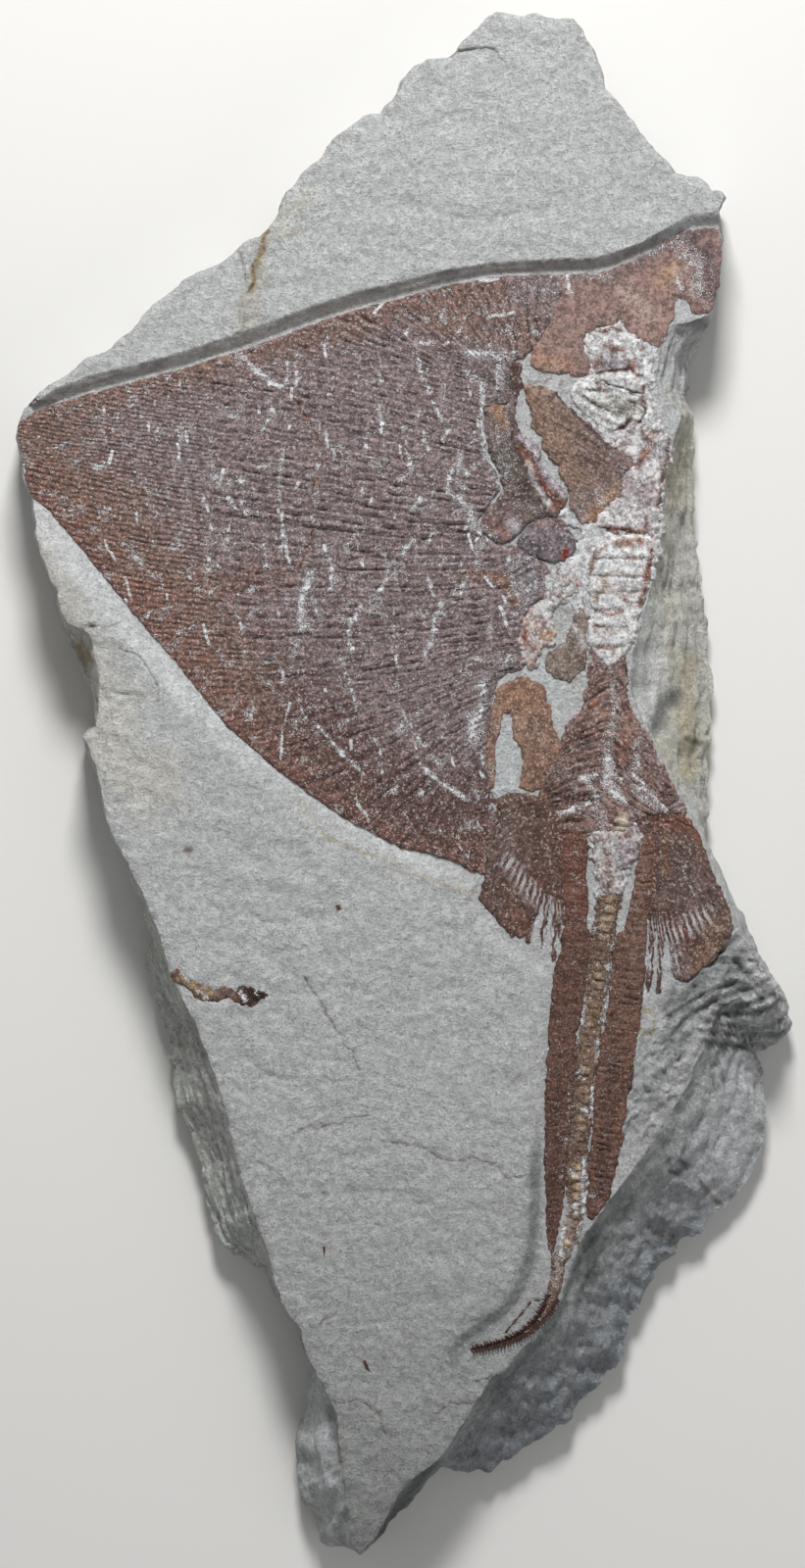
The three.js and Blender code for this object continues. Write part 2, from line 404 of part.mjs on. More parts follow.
// The row of vertebrae: a half-round body that swells at every centrum
function vertebraeGeometry() {
  const path = pathOf(SPINE_PATH);
  const joints = Math.round(path.getLength() / CENTRUM) * 2;
  const sides = 6;
  const rings = [];
  for (let i = 0; i <= joints; i += 1) {
    const at = i / joints;
    const point = path.getPoint(at);
    const along = path.getTangent(at);
    const side = new THREE.Vector3(-along.y, along.x, 0).normalize();
    const swell = i % 2 === 0 ? CENTRUM_WAIST : 1;
    const ring = [];
    for (let k = 0; k <= sides; k += 1) {
      const angle = (Math.PI * k) / sides;
      const corner = new THREE.Vector3(point.x, point.y, Math.sin(angle) * CENTRUM_HEIGHT * swell);
      ring.push(corner.addScaledVector(side, Math.cos(angle) * point.z * (0.8 + 0.2 * swell)));
    }
    rings.push(ring);
  }
  return loft(rings, fanCap);
}

const slab = new THREE.Group();
const seat = FLOOR_Z + SEAT;

const matrix = new THREE.Mesh(cut(slabGeometry(), pocketGeometry()), material(0xb9bcb8, 0.95));
matrix.name = 'matrix_slab';
slab.add(matrix);

// The wing and the skin films
const FILMS = [
  ['pectoral_fin', PECTORAL_FIN, 0x6f5a52],
  ['snout_skin', SNOUT_SKIN, 0x8f7064],
  ['gill_patch', GILL_PATCH, 0x82644f],
  ['belly_lobe', BELLY_LOBE, 0x6a5a4c],
  ['belly_skin', BELLY_SKIN, 0x86603f],
  ['trunk_ribs', TRUNK_RIBS, 0x6e4a3e],
  ['left_pelvic_fin', LEFT_PELVIC_FIN, 0x6c5044],
  ['right_pelvic_fin', RIGHT_PELVIC_FIN, 0x705246],
  ['tail_skin_left', TAIL_SKIN_LEFT, 0x65443a],
  ['tail_skin_right', TAIL_SKIN_RIGHT, 0x6a4b3f],
];
for (const [name, outline, color] of FILMS) {
  slab.add(plate(name, outline, FILM, seat, material(color, 0.8)));
}

// The thicker cartilages and crusts
const CRUSTS = [
  ['jaw_cartilages', JAW_CARTILAGES, 0xa89c92],
  ['shoulder_girdle', SHOULDER_GIRDLE, 0x5d463c],
  ['shoulder_knob', SHOULDER_KNOB, 0x5b4e4d],
  ['shoulder_crust', SHOULDER_CRUST, 0xa38a7c],
  ['neck_cartilage', NECK_CARTILAGE, 0xa89a90],
  ['spine_blocks', SPINE_BLOCKS, 0xcfccc6],
  ['hip_crust', HIP_CRUST, 0xaca5a0],
];
for (const [name, outline, color] of CRUSTS) {
  slab.add(plate(name, outline, CRUST, seat, material(color, 0.9)));
}

const vertebrae = new THREE.Mesh(vertebraeGeometry(), material(0xa08363, 0.7));
vertebrae.name = 'tail_vertebrae';
vertebrae.position.z = seat;
slab.add(vertebrae);

const whip = ribbonOutline(pathOf(WHIP_PATH), 8, THORN_START, THORNS, THORN_REACH);
slab.add(plate('tail_whip', whip, WHIP, seat, material(0x6b4a3c, 0.8)));
const thread = ribbonOutline(pathOf(THREAD_PATH), 14, 1, 0, 0);
slab.add(plate('tail_thread', thread, FILM, seat, material(0x54352c, 0.8)));

// Small remains on the bare stone face
const SCRAPS = [
  ['fish_scrap', FISH_SCRAP, 0x7a5640],
  ['chip_upper', CHIP_UPPER, 0x6a4630],
  ['chip_middle', CHIP_MIDDLE, 0x6a3d2a],
  ['chip_lower', CHIP_LOWER, 0x63352a],
];
for (const [name, outline, color] of SCRAPS) {
  const top = Math.max(...outline.map(([, y]) => faceHeight(y)));
  slab.add(plate(name, outline, FILM, top + SEAT, material(color, 0.8)));
}

export default slab;
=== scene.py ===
import math

import bmesh
import bpy
import numpy as np
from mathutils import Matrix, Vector, noise
from mathutils.bvhtree import BVHTree
from mathutils.geometry import delaunay_2d_cdt
from mathutils.kdtree import KDTree


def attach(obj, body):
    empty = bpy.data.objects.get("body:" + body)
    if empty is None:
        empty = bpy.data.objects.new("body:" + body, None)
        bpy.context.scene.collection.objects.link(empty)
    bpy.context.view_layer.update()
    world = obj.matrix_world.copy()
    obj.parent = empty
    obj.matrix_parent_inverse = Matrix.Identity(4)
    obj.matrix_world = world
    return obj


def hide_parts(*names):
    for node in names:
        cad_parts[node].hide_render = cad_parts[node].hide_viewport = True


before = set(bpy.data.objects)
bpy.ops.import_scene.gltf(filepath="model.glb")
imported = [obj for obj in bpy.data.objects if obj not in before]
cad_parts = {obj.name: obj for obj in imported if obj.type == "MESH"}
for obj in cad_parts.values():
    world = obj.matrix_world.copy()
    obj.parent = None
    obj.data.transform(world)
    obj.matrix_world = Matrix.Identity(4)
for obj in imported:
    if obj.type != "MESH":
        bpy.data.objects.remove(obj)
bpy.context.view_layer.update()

# ----------------------------------------------------------------------------------------------
# The slab: one block of pale grey marly limestone, split along its layers, with a rough face,
# broken flanks and a flat underside. The ray lies in a shallow pocket cut down into the face.
# ----------------------------------------------------------------------------------------------

MM = 0.001               # places and sizes are in millimetres, heights from the underside up
FACE_Z = 32.6            # height of the bare face in the middle,
FACE_TILT = 0.007        # and its rise towards the head
POCKET_Z = 30            # floor of the pocket
RIM_Z = 8                # height of the outermost broken edge
STEEP_INSET = 1.1        # how far a steep side leans in at the face
STEEP_MIDDLE = (0.55, 21)  # its middle line: share of the way out from the face, and height
FLANK_MIDDLE = 0.45      # the same share on a broad flank,
FLANK_SWELL = 4.5        # and how far the broadest ones stand out there
FOOT_SCALE = 0.985       # the underside against the rim
EDGE_STEP = 1.25         # spacing of the points around the edge,
FACE_STEP = 1.15         # on the bare face,
HIDDEN_STEP = 3.2        # under the ray,
TRUNK_STEP = 0.55        # in the crushed stone along the trunk,
LEDGE_STEP = 0.8         # on the layers laid bare right of the tail,
WALL_STEP = 0.6          # and at the walls of the pocket
FLANK_ROWS = 32          # rows of points down a flank,
FOOT_ROWS = 5            # and from the rim to the underside

# The broken edge, clockwise from the top: [rim x, rim y] where the side is steep, and
# [rim x, rim y, face x, face y, middle height] where a broad flank runs down from the face.
EDGE = [
    [29, 247.2], [37, 245.8], [42, 246.6], [48, 244.7], [54, 245], [58, 240], [63.5, 228.5],
    [64.3, 223], [70, 216], [80, 203], [86.8, 195.2], [93.5, 194.2], [96.5, 192.4], [98, 190],
    [100.3, 190], [103, 187.3], [101, 183], [101.8, 174], [100.8, 160], [99.5, 152],
    # below the corner of the snout the stone slopes down to the right
    [98.3, 148.5, 96.6, 149.6, 26], [96.5, 145, 91, 147.5, 25], [95, 139.5, 85, 146, 25],
    [92, 134, 82, 140, 26], [91, 127.5, 80.5, 132, 26], [90.2, 123.5, 80, 127, 26],
    # the yellowish lower bench beside the trunk
    [92.5, 119.5, 88.5, 118, 20], [93, 110, 86.3, 111, 19], [92.6, 98, 83.2, 99, 17],
    [93.8, 78, 81.3, 79, 16], [95, 60, 78, 60, 16], [97.5, 52, 75, 51, 16],
    [97.5, 40, 72.5, 40, 16],
    [99.3, 31, 71.8, 31, 16], [98.5, 20, 75.3, 20, 17], [97.5, 8, 81.3, 8.5, 18],
    [98, 2, 85.2, 1.5, 18], [97.2, -8, 90.6, -8.5, 20], [96.5, -16, 95, -16.5, 22],
    [99.5, -24.5, 97.8, -25.5, 24], [105.5, -36, 103.5, -37.2, 24], [110.8, -48, 107.8, -49.5, 24],
    # the layered bump and its corner
    [117, -61, 112, -56, 27], [123, -70, 113, -60, 28], [124.8, -77, 112, -64, 27],
    [122.8, -81, 108, -67.5, 24], [119, -83.5, 104, -69, 20], [114.3, -87, 100, -72, 18],
    # the broad lower flank on the right
    [114.5, -95, 96, -82, 15], [115.5, -105, 91, -94, 15], [115.5, -117, 87, -102, 14],
    [113, -123, 82, -109, 14], [108.5, -131, 78, -115.5, 14], [104.5, -136, 74, -121, 14],
    [98, -139.5, 70.5, -126.5, 13], [95, -144.5, 67, -130.5, 13], [91, -145, 64.8, -133.3, 13],
    [88.5, -148, 62.6, -136.5, 13], [87, -151.5, 60.4, -139.6, 13], [83, -154, 57.8, -142.8, 13],
    [79.5, -160, 55.3, -147.3, 13], [76.5, -165, 54, -151.5, 13], [74, -169.5, 52.4, -155.5, 13],
    [71, -174.5, 51.2, -160, 14], [71, -178, 50, -163.7, 14], [69.5, -184, 48.4, -166.8, 14],
    [67.5, -187.5, 46, -170.4, 14], [65, -188.8, 43.8, -173.2, 14], [62, -194.5, 41.2, -176.6, 14],
    [58, -198.5, 37.8, -180, 14], [52, -204.5, 34.5, -183.2, 14], [44, -210.5, 32, -187, 14],
    [37, -214.5, 28, -189.3, 14], [31, -219, 24.3, -195, 14], [26, -221, 20.3, -201.3, 14],
    [20, -222.2, 16.2, -207.8, 14], [16.5, -220.5, 13, -212.5, 15], [12, -219, 9.9, -216, 20],
    # the lowest point and the rounded lump left of it
    [8, -222.5, 4.8, -219.6, 20], [4, -228.5, 0, -224, 19], [0, -232, -2.8, -228.4, 19],
    [-4, -236, -5.8, -233.5, 20], [-7, -240.5, -8.3, -239, 22], [-10, -243.5, -11, -242.3, 22],
    [-14, -247.2, -14.6, -245.6, 22], [-20, -245, -17.5, -241, 21], [-24, -245, -18, -236, 20],
    [-26.5, -243.5, -18.5, -231.5, 20], [-27.5, -239, -19, -228, 21],
    [-29, -234, -19.3, -224.5, 22],
    [-31.5, -232, -19.7, -221, 23], [-33.5, -227, -20, -217.5, 23], [-34, -220, -20.5, -213.5, 23],
    [-35, -214, -21, -209, 23], [-34, -210.5, -21.3, -205, 22], [-32, -207, -21.8, -201.5, 21],
    [-32.3, -197, -24.3, -195.5, 20], [-31, -190, -27.5, -189.5, 20],
    [-32.3, -183, -30.5, -183, 20],
    [-34.3, -177.5, -32.8, -178, 20], [-34, -174, -32.8, -174.2, 20], [-37.5, -170.5], [-40, -166],
    # the grey weathered flank on the left
    [-43.5, -160, -42, -157.5, 20], [-46, -157, -42.8, -152.5, 19], [-50, -154.5, -44, -148.5, 18],
    [-55, -152, -45.6, -144, 17], [-60, -147.5, -47.8, -138.5, 17], [-63, -140, -50, -132, 17],
    [-64.5, -131, -52.3, -125, 17], [-66, -122, -54.3, -116.5, 17], [-69, -112, -56.5, -107, 17],
    [-73.5, -104, -58.6, -99.5, 17], [-75, -97, -60.5, -93, 17], [-76, -86, -63.6, -85, 17],
    [-78, -77, -66.5, -77, 17], [-80.5, -68, -70.7, -69, 18], [-83.5, -59, -74.8, -60.5, 18],
    [-83.5, -56.5, -76, -57, 18], [-82.5, -52, -77, -52, 19], [-82, -49, -78.3, -48.5, 20],
    [-84, -43, -80.5, -42.5, 20], [-87, -33, -84.8, -32.5, 20], [-90, -25, -88.6, -24.7, 21],
    [-93, -19], [-96, -12], [-97, -6.5], [-98, -2], [-99.5, 4], [-102, 11], [-103.5, 15],
    # the notch
    [-99.5, 18.5], [-100, 28, -97.5, 28.5, 22], [-102.3, 33, -97.5, 33, 22],
    [-104.3, 37, -98.5, 38, 21], [-106, 43, -99.5, 44, 20], [-108.5, 46, -101, 48.5, 20],
    [-109.7, 50.5, -107.5, 51.3, 22], [-111, 56], [-112, 61], [-114.5, 66.5], [-116.5, 71.5],
    [-119, 79.5], [-119, 84.5], [-120, 91], [-122.5, 97], [-123.5, 106], [-124.8, 112],
    [-124, 115.5], [-122, 120.3], [-117, 126], [-110, 130.3], [-102, 136], [-96, 138.5],
    [-91, 143], [-87, 146], [-84.5, 150], [-79, 155], [-75, 158], [-71, 161.5], [-66, 164],
    [-58, 167.5], [-54, 171], [-50, 174.7], [-47, 175.2], [-42, 180.5], [-37.5, 190], [-33, 195.5],
    [-28, 200], [-25, 204.5], [-20, 209], [-13.5, 213.5], [-7.5, 215], [-4, 219], [-0.9, 225.5],
    [3.5, 230], [7, 232], [13, 232.5], [16, 234], [19, 238.5], [24, 243],
]

# Cracks in the face: (depth, half width, [x, y], ...)
CRACKS = [
    (0.9, 0.7, (-44, 179), (-45.5, 170), (-48, 163), (-49, 157)),
    (0.5, 0.5, (-52, 150), (-52.6, 146), (-53.4, 142.5)),
    (0.5, 0.5, (-53.5, 170), (-52, 165), (-51, 160)),
    (0.7, 0.6, (16, 233), (22, 234), (28, 234.5), (30.5, 229)),
    (1.1, 0.8, (-109, 50), (-104, 46.3), (-100, 49.7)),
    (0.5, 0.5, (-100, 49.7), (-90, 51), (-84, 52.5), (-80, 55)),
    (0.5, 0.5, (-92, 43), (-85, 41), (-80, 33), (-77, 26)),
    (0.45, 0.5, (-32, -62), (-27, -70), (-21, -81), (-15, -91)),
    (0.4, 0.5, (-38, -112), (-28, -109), (-20, -108), (-12, -105)),
    (0.45, 0.5, (-7, -114), (10, -118), (27, -122), (33, -127), (40, -122)),
    (0.5, 0.5, (-30, -173), (-22, -170)),
    (0.5, 0.5, (-25, -196), (-12, -197), (-5, -208)),
    (0.5, 0.5, (10, -200), (20, -197), (26, -194)),
    (0.4, 0.5, (23, -190.5), (28, -189)),
]

# Flakes spalled off the face: (drop, [x, y], ...), the stone right of the line lying lower
FLAKES = [
    (0.9, (-103.5, 36.5), (-97, 31.5), (-92, 29.5), (-86, 29)),
    (0.6, (-45, -92), (-30, -96), (-12, -92), (2, -97)),
    (0.5, (-20, -20), (-5, -24), (12, -30)),
    (0.55, (-60, -38), (-40, -44), (-22, -40)),
    (0.5, (-48, -120), (-30, -131), (-8, -128), (10, -134)),
    (0.35, (-10, 215), (5, 210), (20, 214), (40, 208)),
    (0.5, (0, 186), (20, 180), (44, 184)),
    (1.7, (75, -91), (80, -86.5), (85, -80), (90, -75), (96, -70.5), (103, -67.5), (110, -65)),
    (1.2, (79, -82), (84, -74.5), (92, -69), (98, -66), (104, -62.5)),
    (1.1, (92, -62), (97, -57), (101, -53), (106, -49)),
    (1.0, (105, -56.5), (108, -60), (111, -62.5), (114, -62)),
    (0.9, (70, -112), (76, -108), (84, -101)),
]

# Seams between the layers laid bare on the bump, cut in and painted dark as their shadow: [x, y],
# ...
SEAMS = [
    ((99, -70.5), (106, -71.2), (111, -70), (118, -67)),
    ((98, -73.5), (106, -74), (114, -72.5), (121, -69)),
    ((96, -76), (104, -77.5), (112, -78.8), (118, -77), (123, -74)),
    ((95, -79), (104, -80.3), (112, -81.5), (122, -80)), ((95, -82.5), (106, -84.2), (115, -84)),
    ((85, -80), (90, -75), (96, -70.8), (103, -67.5), (111, -65), (116, -62.5)),
    ((84, -74.5), (92, -69.2), (98, -66), (106, -63)), ((96, -57.5), (101, -53), (106, -49)),
    ((105, -56.5), (108, -60), (111, -62.5)),
]

# Middle lines of the pocket's wall in front of the wing and left of the tail
FRONT_WALL = [(-122, 121), (-101, 128.3), (-71, 136.2), (-51, 142.5), (-31, 150), (-16, 155),
              (-1, 158.7), (11, 162), (28, 164.8), (45, 165.7), (60, 166), (68, 168), (76, 171)]
TAIL_WALL = [(40.5, -112), (40.5, -128), (40, -142), (38, -153), (33, -162), (27, -168.5),
             (20, -174.5), (14, -180), (16, -186)]
FRONT_WALL_REACH, TAIL_WALL_REACH = 4.5, 5

# The layers laid bare right of the tail, their slant, and the bump at the end of them
BARED_LAYERS = [(74, -104), (86, -84), (100, -64), (113, -60)]
BARED_REACH = 26
BARED_TURN = np.array([[0.58, -0.81], [0.81, 0.58]])
LEDGE, LEDGE_REACH = [(72, -118), (84, -92), (98, -70), (108, -58)], 14
BUMP_TOP = [(100, -58), (112, -60)]
BUMP_SIDE = [(108, -62), (120, -76)]

# The stone crushed between the bones of the head and trunk: its box and its middle line
TRUNK_LOW, TRUNK_HIGH = np.array([34, -20]), np.array([90, 152])
CRUSHED = [(45, 130), (70, 125), (74, 100), (62, 74), (56, 52), (66, 20), (66, -12)]


def rough(points, size, octaves=3, shift=0.0, stretch=(1, 1, 1)):
    """Fractal noise of that feature size, about -1 to 1, at every point."""
    scaled = points * (np.array(stretch)[: points.shape[1]] / size) + shift
    if scaled.shape[1] == 2:
        scaled = np.column_stack([scaled, np.full(len(scaled), shift)])
    return np.array([noise.fractal(Vector(p), 1.0, 2.0, octaves) for p in scaled])


def inside(flat, polygon):
    """Which points lie inside a polygon."""
    polygon = np.asarray(polygon, float)
    result = np.zeros(len(flat), bool)
    low, high = polygon.min(0), polygon.max(0)
    close = np.nonzero(np.all((flat > low) & (flat < high), axis=1))[0]
    x, y = flat[close].T
    hit = np.zeros(len(close), bool)
    for (ax, ay), (bx, by) in zip(polygon, np.roll(polygon, -1, 0)):
        if ay != by:
            hit ^= ((ay > y) != (by > y)) & (x < (bx - ax) * (y - ay) / (by - ay) + ax)
    result[close] = hit
    return result


def distance_to(flat, line):
    """Distance from every point to an open line of points."""
    line = np.asarray(line, float)
    if len(line) == 1:
        return np.linalg.norm(flat - line[0], axis=1)
    best = np.full(len(flat), np.inf)
    for a, b in zip(line[:-1], line[1:]):
        along = np.clip((flat - a) @ (b - a) / ((b - a) @ (b - a)), 0, 1)
        best = np.minimum(best, np.linalg.norm(flat - a - along[:, None] * (b - a), axis=1))
    return best


def near(flat, line, reach, wobble=0.0):
    """1 on a line, falling smoothly to 0 at its reach."""
    share = np.clip(1 - (distance_to(flat, line) + wobble) / reach, 0, 1)
    return share * share * (3 - 2 * share)


def dotted(line, step):
    """Points at an even step along a line."""
    line = np.asarray(line, float)
    parts = []
    for a, b in zip(line[:-1], line[1:]):
        count = max(1, int(math.ceil(np.linalg.norm(b - a) / step)))
        parts.append(a + (b - a) * (np.arange(count) / count)[:, None])
    return np.vstack(parts + [line[-1:]])


def lattice(low, high, step, shift):
    """Slightly shaken triangular lattice of points over a box."""
    random = np.random.default_rng(shift)
    rows = np.arange(low[1], high[1], step * 0.866)
    columns = np.arange(low[0], high[0], step)
    x, y = np.meshgrid(columns, rows)
    x = x + step * 0.5 * (np.arange(len(rows)) % 2)[:, None]
    points = np.stack([x.ravel(), y.ravel()], 1)
    return points + random.uniform(-0.22, 0.22, points.shape) * step


def filled(ring, points):
    """Points and triangles that fill a closed ring, through the loose points inside it."""
    coordinates = [Vector(p) for p in np.vstack([ring, points])]
    result = delaunay_2d_cdt(coordinates, [], [list(range(len(ring)))], 1, 1e-6)
    flat = np.array([tuple(v) for v in result[0]])
    return flat, result[2]


def wander(flat, size, octaves, seeds, reach):
    """Small sideways shifts that bend a line, the same for every mesh point near a place."""
    return np.stack([rough(flat, size, octaves, seed) for seed in seeds], 1) * reach


def sway_of(flat):
    """The sideways wander of the cracks."""
    return wander(flat, 9, 3, (51, 57), 2.4)


def tree_of(flat):
    """Search tree of flat points."""
    tree = KDTree(len(flat))
    for i, point in enumerate(flat):
        tree.insert((*point, 0), i)
    tree.balance()
    return tree


def gap_to(tree, flat):
    """Distance from every point to the nearest one of a search tree."""
    return np.array([tree.find((*point, 0))[2] for point in flat])


def srgb(*levels):
    """Linear colour from 0-255 levels."""
    return tuple(((v / 255 + 0.055) / 1.055) ** 2.4 if v > 10 else v / 255 / 12.92 for v in levels)


def blended(tint, colour, share):
    """Linear colours moved by a share towards one colour, given in 0-255 levels."""
    return tint + (np.array(srgb(*colour)) - tint) * share[:, None]


# The edge: the rim and the crest, where the face breaks off, both shaken outwards a little
rim = np.array([row[:2] for row in EDGE], float)
ahead = np.roll(rim, -1, 0) - np.roll(rim, 1, 0)
inward = np.stack([ahead[:, 1], -ahead[:, 0]], 1) / np.linalg.norm(ahead, axis=1)[:, None]
crest = np.array([
    row[2:4] if len(row) == 5 else rim[i] + inward[i] * STEEP_INSET for i, row in enumerate(EDGE)
])
middle = np.array([(FLANK_MIDDLE, row[4]) if len(row) == 5 else STEEP_MIDDLE for row in EDGE])
rows = np.hstack([rim, crest, middle])

columns = []
for here, there in zip(rows, np.roll(rows, -1, 0)):
    reach = max(np.linalg.norm((there - here)[:2]), np.linalg.norm((there - here)[2:4]))
    count = max(1, int(math.ceil(reach / EDGE_STEP)))
    columns.append(here + (there - here) * (np.arange(count) / count)[:, None])
columns = np.vstack(columns)
rim, crest, middle_share, middle_z = columns[:, :2], columns[:, 2:4], columns[:, 4], columns[:, 5]
ahead = np.roll(rim, -2, 0) - np.roll(rim, 2, 0)
outward = np.stack([-ahead[:, 1], ahead[:, 0]], 1) / np.linalg.norm(ahead, axis=1)[:, None]
rim = rim + outward * (rough(rim, 5, 3, 3) * 0.9)[:, None]
crest = crest + outward * (rough(crest, 4, 3, 7) * 0.55 - 0.1)[:, None]
crest_tree = tree_of(crest)

# The cut stone, for its levels, and points along every edge between its levels
stone = bmesh.new()
stone.from_mesh(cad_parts["matrix_slab"].data)
bmesh.ops.remove_doubles(stone, verts=stone.verts, dist=1e-6)
stone.normal_update()
cut_stone = BVHTree.FromBMesh(stone)
ledges = []
for edge in stone.edges:
    a, b = (np.array(v.co) / MM for v in edge.verts)
    if min(a[2], b[2]) > POCKET_Z - 0.2 and edge.calc_face_angle(0) > 0.2:
        ledges.append(dotted([a[:2], b[:2]], 0.8))
ledges = np.vstack(ledges)
stone.free()


def plan_of(node):
    """Outline of the flat top of a CAD node, in order, in mm."""
    copy = bmesh.new()
    copy.from_mesh(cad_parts[node].data)
    bmesh.ops.remove_doubles(copy, verts=copy.verts, dist=1e-6)
    copy.normal_update()
    top = [f for f in copy.faces if f.normal.z > 0.9]
    follow = {}
    for face in top:
        for loop in face.loops:
            if sum(f.normal.z > 0.9 for f in loop.edge.link_faces) == 1:
                follow[loop.vert] = loop.link_loop_next.vert
    first = next(iter(follow))
    outline, vert = [], first
    while True:
        outline.append((vert.co.x / MM, vert.co.y / MM))
        vert = follow[vert]
        if vert is first:
            break
    copy.free()
    return np.array(outline)


# the vertebrae are many small plates, so they have no one outline
FILM_NODES = [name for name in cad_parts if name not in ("matrix_slab", "tail_vertebrae")]
plans = {name: plan_of(name) for name in FILM_NODES}


def deep_inside(flat, reach):
    """Which points lie under a film, at least that far in from its edge."""
    result = np.zeros(len(flat), bool)
    for plan in plans.values():
        under = inside(flat, plan)
        for dx, dy in ((reach, 0), (-reach, 0), (0, reach), (0, -reach)):
            under &= inside(flat + (dx, dy), plan)
        result |= under
    return result


def in_trunk(flat):
    """Which points lie in the box of the crushed stone."""
    return np.all((flat > TRUNK_LOW) & (flat < TRUNK_HIGH), axis=1)


def on_ledge(flat):
    """Which points lie on the bared layers."""
    return distance_to(flat, LEDGE) < LEDGE_REACH


def at_wall(flat):
    """Which points lie at the pocket's walls."""
    by_front = distance_to(flat, FRONT_WALL) < FRONT_WALL_REACH
    return by_front | (distance_to(flat, TAIL_WALL) < TAIL_WALL_REACH)


def loose_points(low, high, step, seed, where=None, cover=0.4):
    """Shaken points on the face, up to that far under the films."""
    loose = lattice(low, high, step, seed)
    if where:
        loose = loose[where(loose)]
    loose = loose[inside(loose, crest)]
    return loose[~deep_inside(loose, cover)]


# The top: the ring of the crest, shaken points inside it, and lines of points on every ledge
low, high = crest.min(0), crest.max(0)
bare_points = loose_points(low, high, FACE_STEP, 1, cover=1.3)
bare_points = bare_points[~in_trunk(bare_points) & ~on_ledge(bare_points)]
trunk_points = loose_points(TRUNK_LOW, TRUNK_HIGH, TRUNK_STEP, 5)
ledge_points = loose_points(low, high, LEDGE_STEP, 11, on_ledge)
wall_points = loose_points(low, high, WALL_STEP, 9, at_wall)
fine = np.vstack([bare_points, trunk_points, ledge_points])
fine = np.vstack([fine[~at_wall(fine)], wall_points])
coarse = lattice(low, high, HIDDEN_STEP, 2)
coarse = coarse[inside(coarse, crest)]
coarse = coarse[deep_inside(coarse, 1.6)]
lines = [ledges[inside(ledges, crest)]]
for _, width, *line in CRACKS:
    middle_line = dotted(line, 0.4)
    turn = np.gradient(middle_line, axis=0)
    side = np.stack([-turn[:, 1], turn[:, 0]], 1)
    side /= np.linalg.norm(side, axis=1)[:, None] + 1e-9
    for share in (-1.2, 0, 1.2):
        lines.append(middle_line + side * share * width - sway_of(middle_line))
lines = np.vstack(lines)
lines = lines[inside(lines, crest)]
# nothing loose within half a step of the crest or of a line
fine = fine[(gap_to(crest_tree, fine) > 0.55) & (gap_to(tree_of(lines), fine) > 0.42)]
lines = lines[gap_to(crest_tree, lines) > 0.5]
flat, triangles = filled(crest, np.vstack([fine, coarse, lines]))


def cut_level(x, y):
    """Height of the cut stone at a place, or nan beyond its edge."""
    hit = cut_stone.ray_cast(Vector((x * MM, y * MM, 0.1)), Vector((0, 0, -1)))[0]
    return hit.z / MM if hit is not None else np.nan


def face_level_of(flat):
    """Height of the bare face at every point."""
    return FACE_Z + FACE_TILT * flat[:, 1]


height = np.array([cut_level(x, y) for x, y in flat])
# on the crest itself the cut level is taken a little way in
crest_gap = gap_to(crest_tree, flat)
for i in np.nonzero(crest_gap < 0.9)[0]:
    nearest_crest = crest_tree.find((*flat[i], 0))[1]
    height[i] = cut_level(*(flat[i] - outward[nearest_crest] * 1.1))
face_level = face_level_of(flat)
height = np.where(np.isnan(height), face_level, height)
in_pocket = np.clip((face_level - height) / 2.0, 0, 1)
# beside the lower half of the tail the wall is steeper and crisper than the cut one
wall_share = np.clip((height - POCKET_Z) / (face_level - POCKET_Z), 0, 1)
steeper = POCKET_Z + (face_level - POCKET_Z) * np.clip((wall_share - 0.2) / 0.45, 0, 1)
crisp = (near(flat, TAIL_WALL, 12) > 0.25) * np.clip((-60 - flat[:, 1]) / 4, 0, 1)
height = height + (steeper - height) * (crisp * np.clip((flat[:, 1] + 122) / 14, 0, 1))
wall_share = np.clip((height - POCKET_Z) / (face_level - POCKET_Z), 0, 1)
on_wall = np.clip(wall_share / 0.12, 0, 1) * np.clip((0.97 - wall_share) / 0.12, 0, 1)

# Relief of the face: broad swells, hackles and grit, coarser towards the tail
coarser = 1 + 0.6 * np.clip((20 - flat[:, 1]) / 160, 0, 1)
relief = rough(flat, 60, 3, 11) * 0.7
relief += rough(flat, 11, 3, 13, (0.8, 1.3)) * 0.32 * coarser * (1 - 0.5 * in_pocket)
relief += rough(flat, 2.6, 3, 17, (0.9, 1.1)) * 0.26 * coarser * (1 - 0.4 * in_pocket)
relief += 0.3 * np.tanh(4 * rough(flat, 9, 4, 91)) * (1 - in_pocket)
# layers laid bare on the right of the tail, down to the bump's corner
bared = near(flat, BARED_LAYERS, BARED_REACH) * (1 - in_pocket * 0.3)
hackles = np.tanh(2.6 * rough(flat @ BARED_TURN, 3.6, 5, 71, (0.35, 1.0))) * 1.6
relief += bared * (hackles + rough(flat, 2.2, 4, 73) * 1.4)
BUMP_GRAIN = (3.4, 3, 49, (0.12, 1.0))  # long level streaks across the bump
relief += near(flat, BUMP_TOP, 14) * np.tanh(3 * rough(flat, *BUMP_GRAIN)) * 0.8
seam_shake = 0.35 * rough(flat, 4, 3, 77)
for line in SEAMS:
    relief -= 1.1 * near(flat, line, 1.5, seam_shake)
wear = np.clip(1 - crest_gap / 2.2, 0, 1)
relief -= wear * wear * (0.35 + 0.5 * np.abs(rough(flat, 7, 2, 19))) * (1 - in_pocket)
crack_sway = sway_of(flat)
for depth, width, *line in CRACKS:
    relief -= depth * np.clip(1.15 - distance_to(flat + crack_sway, line) / width, 0, 1)
shaken = flat + wander(flat, 6, 2, (23, 29), 1.8)
